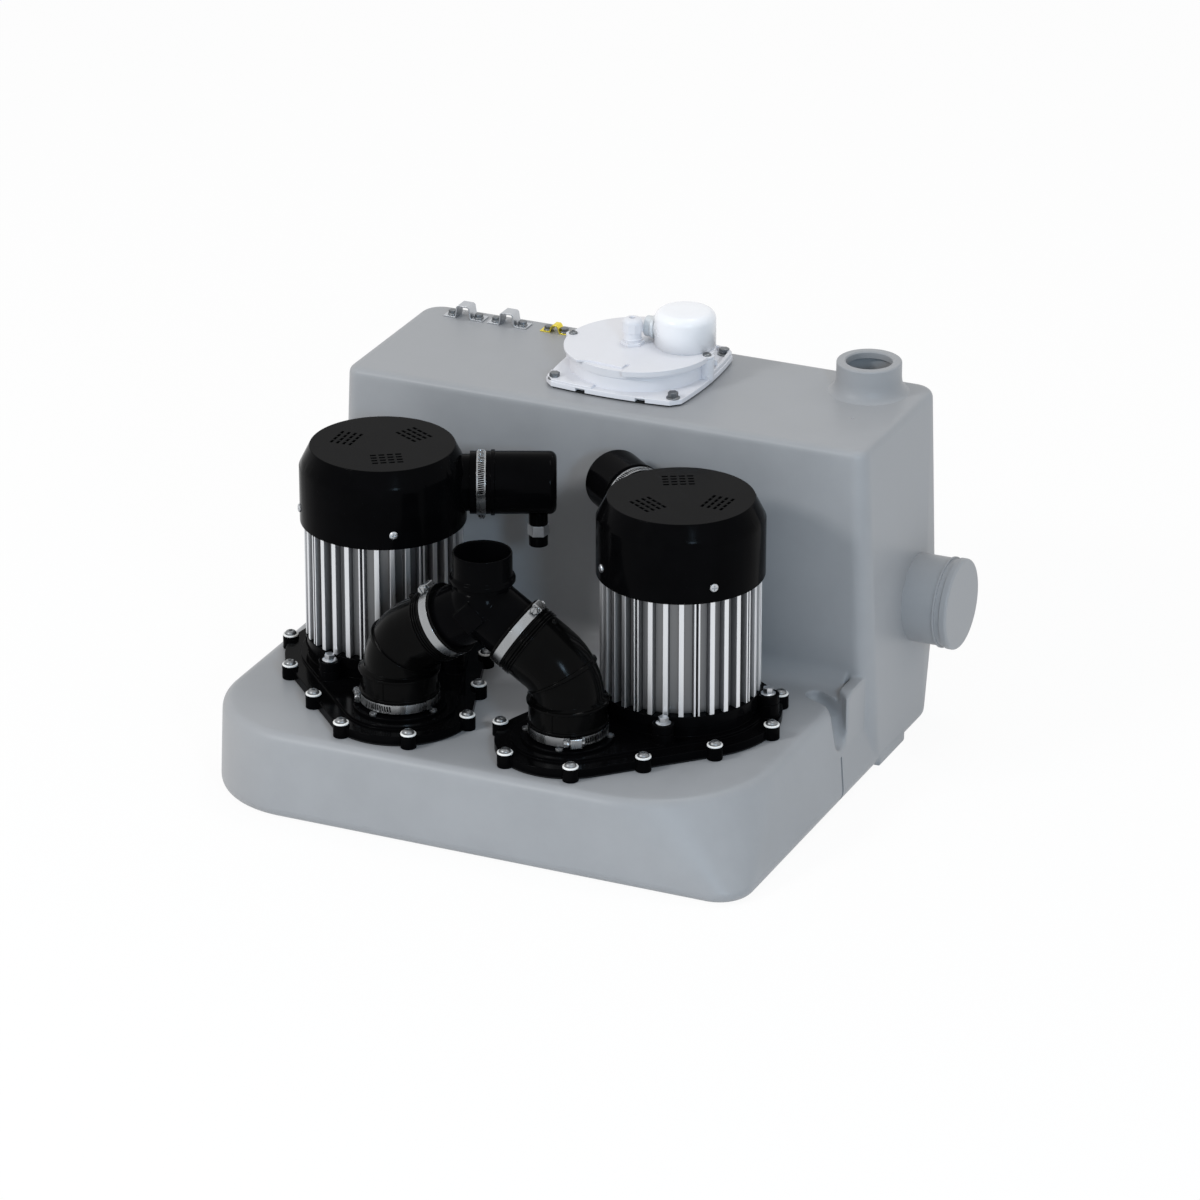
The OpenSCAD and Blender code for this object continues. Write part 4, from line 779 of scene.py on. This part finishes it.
# %% Bends with their ribs
STRAIGHT = SLEEVE_TOP - SLEEVE_LOW
SWEEP = BEND_R * math.radians(BEND_ANGLE)
CUFF = 135.2


def along_bend(length):
    """The place on the centre line this many millimetres from the lower end."""
    turn = min(max(length - STRAIGHT, 0) / BEND_R, math.radians(BEND_ANGLE))
    return (shift(OUTLET_X - BEND_R, OUTLET_Y, SLEEVE_LOW + min(length, STRAIGHT))
            @ Matrix.Rotation(-turn, 4, "Y")
            @ shift(BEND_R, 0, max(length - STRAIGHT - SWEEP, 0)))


def ribbed(start, end, radius, ribs, step=3.0):
    """Stations from start to end with ribs given as (middle, width, height)."""
    marks = {start: radius, end: radius}
    count = round((end - start) / step)
    for k in range(1, count):
        at = start + (end - start) * k / count
        if all(abs(at - middle) > width / 2 + 0.7 for middle, width, _ in ribs):
            marks[at] = radius
    for middle, width, height in ribs:
        for side in (-1, 1):
            marks[middle + side * (width / 2 + 0.45)] = radius
            marks[middle + side * width / 2] = radius + height * 0.8
            marks[middle + side * (width / 2 - 0.35)] = radius + height
    return sorted(marks.items())


# Each station is a length along the centre line and a radius.
outside = ([(0, 40.5), (0.5, 41.2), (1.2, 41.6)]
           + ribbed(2, 38.6, 41.6, [(13.6, 2.6, 1.6), (36.6, 2.8, 2.2)])
           + ribbed(40.2, 87, 38.4, [(64, 2.6, 2.4)], 2.5)
           + ribbed(90, 132.6, 38.6, [(109.7, 1.6, 1.5), (112.7, 1.6, 1.5),
                                      (115.7, 1.6, 1.5), (120, 1.8, 1.2)])
           + [(133, 39.5), (134.6, 39.5), (CUFF, 39.0)])
inside = ([(CUFF, 34.2), (118, 34.1), (116.9, 32.6)] + [(s, 32.6) for s in range(114, 38, -4)]
          + [(37.5, 32.6), (36.5, 37.1), (0, 37.2), (0, 40.5)])
bend_shape = tube_along([(along_bend(s), r) for s, r in outside + inside])
seam = block((OUTLET_X - 0.9, OUTLET_Y - 42.5, 133.5), (OUTLET_X + 0.9, OUTLET_Y - 38, 153.5))
knob = bmesh.new()
bmesh.ops.create_uvsphere(knob, u_segments=20, v_segments=12, radius=3.6,
                          matrix=along_bend(104) @ shift(38.6))
bend_shape = joined(bend_shape, seam, knob)
for name, side in SIDES.items():
    copy = repeated(bend_shape.copy(), [mirrored(side, Matrix.Identity(4))])
    if side == LEFT:
        bmesh.ops.reverse_faces(copy, faces=copy.faces)
    bmesh.ops.scale(copy, vec=(MM, MM, MM), verts=copy.verts)
    dress(copy, f"bend_{name}", HOUSING, "rubber", [f"elbow_{name}"],
          bevel=0.25)
print("two bends,", len(outside + inside), "rings each")

# %% [markdown]
# ## Y-piece
# The two arms run into one ball, and the discharge port stands on it. The black plastic has
# soft inner corners, so ball and arms are melted into one skin. The port is turned: a neck,
# a bead that stops the hose, and a rim with a bevel inside.

# %% Ball, arms and port
ball = bmesh.new()
bmesh.ops.create_uvsphere(ball, u_segments=96, v_segments=64, radius=36.5,
                          matrix=shift(0, OUTLET_Y, WYE_Z))
for side in SIDES.values():
    ball = combined(ball, moved(stick(96, 34, 0, 58), at_arm(side)), "UNION")
boss = moved(block((-13, -37.4, -13), (13, 0, 13)), shift(0, OUTLET_Y, WYE_Z - 4)
             @ rotate(45, "Y"))
ball = combined(ball, boss, "UNION")
web = moved(plate([(-34, -28), (0, 2), (34, -28), (24, -36), (-24, -36)], -2.5, 2.5),
            shift(0, OUTLET_Y, WYE_Z) @ rotate(90, "X"))
ball = combined(ball, web, "UNION")
ball = melted(ball, 1.4, rounds=2, kept=0.7)
ball = combined(ball, moved(stick(96, 29.4, 5, 60), shift(0, OUTLET_Y, WYE_Z)))
dress(metres(ball), "y_body", HOUSING, "moulding", ["y_piece"], bevel=0)
port = turned([(28.8, 14), (30.4, 14), (30.4, 24.6), (31.2, 25.6), (34.4, 26.4),
               (35, 27.4), (35, 30.6), (34.4, 31.8), (32.4, 33), (31.8, 34.6),
               (31.8, 57.4), (31.2, 58.8), (30.6, 59), (29.9, 58.6), (28.8, 55.6)], 128,
              closed=True)
dress(metres(port, shift(0, OUTLET_Y, WYE_Z)), "y_port", HOUSING,
      "moulding", ["y_piece"], bevel=0.15, crease=40)
print("Y-piece: ball and port")

# %% [markdown]
# ## Access hatch
# The hatch is white plastic. Its base has bowed sides, a raised strip at the front left, a rim
# at the right and two drain slots. The lid is a thin disc with an ear for each of its screws.
# It is cut back at the front, where a finger lifts it, and a thin floor closes the cut. A rim
# hangs from its edge to the right of the cut, and a round skirt below it meets the collar of
# the base.

# %% Hatch base
HATCH = shift(11, 261)
BASE_LOW, BASE_TOP, COLLAR_TOP, LID_LOW, LID_TOP = 371, 377, 392, 400, 402.5
BASE_SIZE, STRIP_SIZE, RIM_SIZE = 160, 158.6, 151
LID_R, EAR_R, EAR_X = 83, 8, 79.5


def bowed(size, bow=5, cut_back=10, steps=8):
    """A square outline with cut corners and sides that bow out."""
    half = size / 2 - cut_back
    radius = (half * half + bow * bow) / (2 * bow)
    points = []
    for quarter in range(4):
        turn = rotate(90 * quarter)
        for k in range(-steps, steps + 1):
            angle = math.asin(half / radius) * k / steps
            point = turn @ Vector((size / 2 + bow - radius + radius * math.cos(angle),
                                   radius * math.sin(angle), 0))
            points.append((point.x, point.y))
    return points


base = plate(bowed(BASE_SIZE), BASE_LOW, BASE_TOP)
corner = [(x, y) for x, y in bowed(STRIP_SIZE) if x < -20.7 and y < -52]
strip = plate(corner + [(-20.7, corner[-1][1]), (-20.7, -52), (corner[0][0], -52)],
              BASE_TOP - 1, BASE_TOP + 2.2)
outer, inner = ([(x, y) for x, y in bowed(size) if x > 40 and y > -12]
                for size in (STRIP_SIZE, RIM_SIZE))
rim = plate(outer + inner[::-1], BASE_TOP - 1, BASE_TOP + 5)
collar = turned([(62, BASE_TOP - 2), (76, BASE_TOP - 2), (76, COLLAR_TOP - 3),
                 (74.6, COLLAR_TOP), (62, COLLAR_TOP)], 128, closed=True)
pillars = repeated(stick(32, EAR_R, BASE_TOP - 2, LID_LOW - 0.2),
                   [shift(-EAR_X), shift(EAR_X)])
rib = plate([(70, 20), (80, 26), (80, 29), (70, 24)], BASE_TOP - 1, BASE_TOP + 10)
slots = joined(block((-39.4, -90, 365), (-28.4, -78, 374.9)),
               block((31.2, -90, 365), (42.2, -78, 374.9)))
base = combined(base, slots)
base = combined(base, stick(96, 62, 360, 380))
dress(metres(joined(base, strip, rim, collar, pillars, rib), HATCH), "hatch_foot", HOUSING,
      "white", ["hatch_base"], bevel=0.8)

# %% Hatch lid
def ring_part(inner_r, outer_r, first, last, low, high, steps=48):
    """A part of a ring between two angles, as a flat piece."""
    return plate(arc_points((0, 0), outer_r, first, last, steps)
                 + arc_points((0, 0), inner_r, last, first, steps), low, high)


# The lid's edge and an ear's edge cross at this point.
ear_x = (LID_R ** 2 - EAR_R ** 2 + EAR_X ** 2) / (2 * EAR_X)
ear_y = math.sqrt(LID_R ** 2 - ear_x ** 2)
meets = math.degrees(math.atan2(ear_y, ear_x))
ear_turn = math.degrees(math.atan2(ear_y, ear_x - EAR_X))
outline = (arc_points((EAR_X, 0), EAR_R, -ear_turn, ear_turn, 16)[:-1]
           + arc_points((0, 0), LID_R, meets, 180 - meets, 64)[:-1]
           + arc_points((-EAR_X, 0), EAR_R, 180 - ear_turn, 180 + ear_turn, 16)[:-1]
           + arc_points((0, 0), LID_R, 180 + meets, 238, 20)
           + [(-29.7, -65.2), (9.8, -69.8), (10.2, -60), (14.6, -58)]
           + arc_points((0, 0), LID_R, -80, -meets, 28)[:-1])
disc = joined(plate(outline, LID_LOW, LID_TOP), stick(120, 76, LID_LOW - 1.4, LID_LOW + 0.3))
edge = ring_part(LID_R - 2.6, LID_R, -80, 60, 396.5, LID_LOW + 0.5)
skirt = turned([(74, 391.6), (77, 391.6), (77, LID_LOW + 0.5), (74, LID_LOW + 0.5)], 160,
               closed=True)
dress(metres(joined(disc, edge, skirt), HATCH), "hatch_cover", HOUSING,
      "white", ["hatch_lid"], bevel=0.35)
print("lid outline:", len(outline), "points")

# %% Gland and dome
gland = joined(stick(6, 13.2, LID_TOP, 406.2), turned(
    [(0, 405), (9.7, 405), (9.7, 407.6), (10.4, 408.2), (10.4, 409.4), (9.7, 410),
     (9.7, 417), (0, 417)], 48), stick(10, 11.5, 416.6, 426.5), turned(
    [(0, 425), (11.0, 425), (11.0, 427.4)] + arc_points((6, 427.5), 5, 0, 75)
    + [(4.2, 433.2), (3.3, 432.2), (3.3, 424), (0, 424)], 48))
dress(metres(gland, shift(2.7, 260)), "lid_cable_gland", HOUSING, "white",
      ["lid_gland"], bevel=0.5)
DOME = shift(56.2, 280.5)
dome = turned([(31, LID_TOP + 1), (33.6, LID_TOP + 1)] + arc_points((23.6, 433), 10, 0, 80, 10)
              + [(12, 442.8), (0, 443), (0, 440.5), (22, 440.5), (31, 431)], 128)
dress(metres(joined(dome, turned([(31, LID_TOP + 1), (31, 431)], 128)), DOME), "vent_cap",
      HOUSING, "cap", ["vent_dome"], bevel=0)
foot_ring = turned([(30, LID_TOP - 0.2), (32.7, LID_TOP - 0.2), (32.7, LID_TOP + 1.2),
                    (30, LID_TOP + 1.2)], 96, closed=True)
dress(metres(foot_ring, DOME), "vent_cap_seal", HOUSING, "grey",
      ["vent_dome"], bevel=0.2)
print("gland and cap stand on the lid")

# %% Screws of the hatch
hatch_places = [HATCH @ shift(x, y, BASE_TOP + 0.4) for x in (-70, 70) for y in (-70, 70)]
dress(metres(repeated(flange_bolt(10, 6.4, 7.6), hatch_places)), "hatch_heads", HOUSING,
      "dark", ["hatch_bolts"], bevel=0.25)
lid_places = [HATCH @ shift(x, 0, LID_TOP) for x in (-EAR_X, EAR_X)]
dress(metres(repeated(domed_head(4.8, 2.8, 2.0), lid_places)), "lid_heads", HOUSING,
      "dark", ["lid_screws"], bevel=0.15)
print(len(hatch_places), "hatch bolts,", len(lid_places), "lid screws")

# %% [markdown]
# ## Clips on the tower
# Two zinc plated clips hold a cable down and a yellow chromated one holds the earth lead. All
# are bent from strip: the shape is a profile with slanting sides, extruded to its width.

# %% Bent strips
def thickened(path, thick):
    """The outline of a strip of even thickness along a path of (x, y) points."""
    upper, lower = [], []
    for k, point in enumerate(path):
        here = Vector(point)
        steps = [Vector(path[k + 1]) - here] if k + 1 < len(path) else []
        steps += [here - Vector(path[k - 1])] if k else []
        normals = [Vector((-step.y, step.x)).normalized() for step in steps]
        middle = sum(normals, Vector((0, 0))).normalized()
        reach = middle * (thick / 2 / middle.dot(normals[0]))
        upper.append((here + reach)[:])
        lower.append((here - reach)[:])
    return upper + lower[::-1]


def strap(span, hump, rise, thick, width):
    """A strip with two feet, slanting sides and a flat top, seen from the front."""
    foot, low, top = span / 2 + 8, hump / 2, hump / 2 - 2.5
    flat, crown = thick / 2, rise - thick / 2
    outline = thickened([(-foot, flat), (-low - 0.6, flat), (-low, flat + 1.5),
                         (-top - 0.8, crown - 1.5), (-top + 0.8, crown), (top - 0.8, crown),
                         (top + 0.8, crown - 1.5), (low, flat + 1.5), (low + 0.6, flat),
                         (foot, flat)], thick)
    return moved(plate(outline, -width / 2, width / 2), rotate(90, "X"))


CLIP_Y = 335
clips = repeated(strap(32, 18, 15.5, 1.6, 17), [shift(x, CLIP_Y, TOWER_TOP)
                                               for x in (-233.5, -180)])
dress(metres(clips), "cable_straps", HOUSING, "zinc", ["cable_clips"],
      bevel=0.3)
dress(metres(strap(19, 11, 9.5, 1.4, 12), shift(-122.5, CLIP_Y, TOWER_TOP)), "earth_strap",
      HOUSING, "chromate", ["earth_clip"], bevel=0.3)
clip_places = [shift(x, CLIP_Y, TOWER_TOP + 1.6)
               for x in (-249.5, -217.5, -196, -164, -132, -113)]
dress(metres(repeated(flange_bolt(8.4, 4.4, 5.6), clip_places)), "clip_heads", HOUSING,
      "dark", ["clip_screws"], bevel=0.25)
print("three clips on", len(clip_places), "screws")

# %% [markdown]
# ## Pieces that keep their CAD form
# Where the CAD solid already has the form, a copy of its mesh is merged and its edges are
# rounded by the bevel that such a piece has: less on machined metal, more on mouldings.

# %% Copies with rounded edges
KEPT = {  # node: (body, slot, finish, bevel in mm)
    "plate_gaskets": (HOUSING, "seal_rubber", "seal", 0.3),
    "hatch_seal": (HOUSING, "seal_rubber", "seal", 0.3),
    "lid_seal": (HOUSING, "seal_rubber", "seal", 0.3),
    "shaft_seals": (HOUSING, "seal_rubber", "seal", 0.3),
    "motor_bearings": (HOUSING, "stainless", "band", 0.4),
    "end_shields": (HOUSING, "bright_aluminium", "cast", 0.4),
    "run_capacitors": (HOUSING, "white_plastic", "white", 1.0),
    "capacitor_glands": (HOUSING, "black_moulding", "moulding", 0.5),
    "gland_nuts": (HOUSING, "zinc_steel", "zinc", 0.4),
    "valve_pins": (HOUSING, "stainless", "band", 0.2),
    "vent_spigot": (HOUSING, "grey_plastic", "grey", 0.5),
    "level_tubes": (HOUSING, "grey_plastic", "grey", 0.3),
}
for side in SIDES:
    KEPT.update({
        f"pump_plate_{side}": (HOUSING, "black_moulding", "moulding", 0.8),
        f"pump_casing_{side}": (HOUSING, "inner_moulding", "inner", 0.8),
        f"bearing_bracket_{side}": (HOUSING, "black_moulding", "moulding", 0.8),
        f"stator_{side}": (HOUSING, "copper_winding", "copper", 1.5),
        f"motor_body_{side}": (HOUSING, "bright_aluminium", "aluminium", 0.5),
        f"fan_cover_{side}": (HOUSING, "black_moulding", "moulding", 0.7),
        f"capacitor_case_{side}": (HOUSING, "black_moulding", "moulding", 0.6),
        f"outlet_flange_{side}": (HOUSING, "black_moulding", "moulding", 0.5),
        f"impeller_{side}": (f"rotor_{side}", "inner_moulding", "inner", 0.5),
        f"fan_{side}": (f"rotor_{side}", "inner_moulding", "inner", 0.4),
        f"shaft_{side}": (f"rotor_{side}", "stainless", "band", 0.5),
        f"rotor_core_{side}": (f"rotor_{side}", "lamination_steel", "lamination", 0.4),
        f"valve_flap_{side}": (f"flap_{side}", "seal_rubber", "seal", 0.4),
    })
for node, (body, slot, surface, bevel) in KEPT.items():
    dress(cad_copy(node), node + "_finished", body, surface, [node], bevel)
print(len(KEPT), "pieces keep their CAD form")
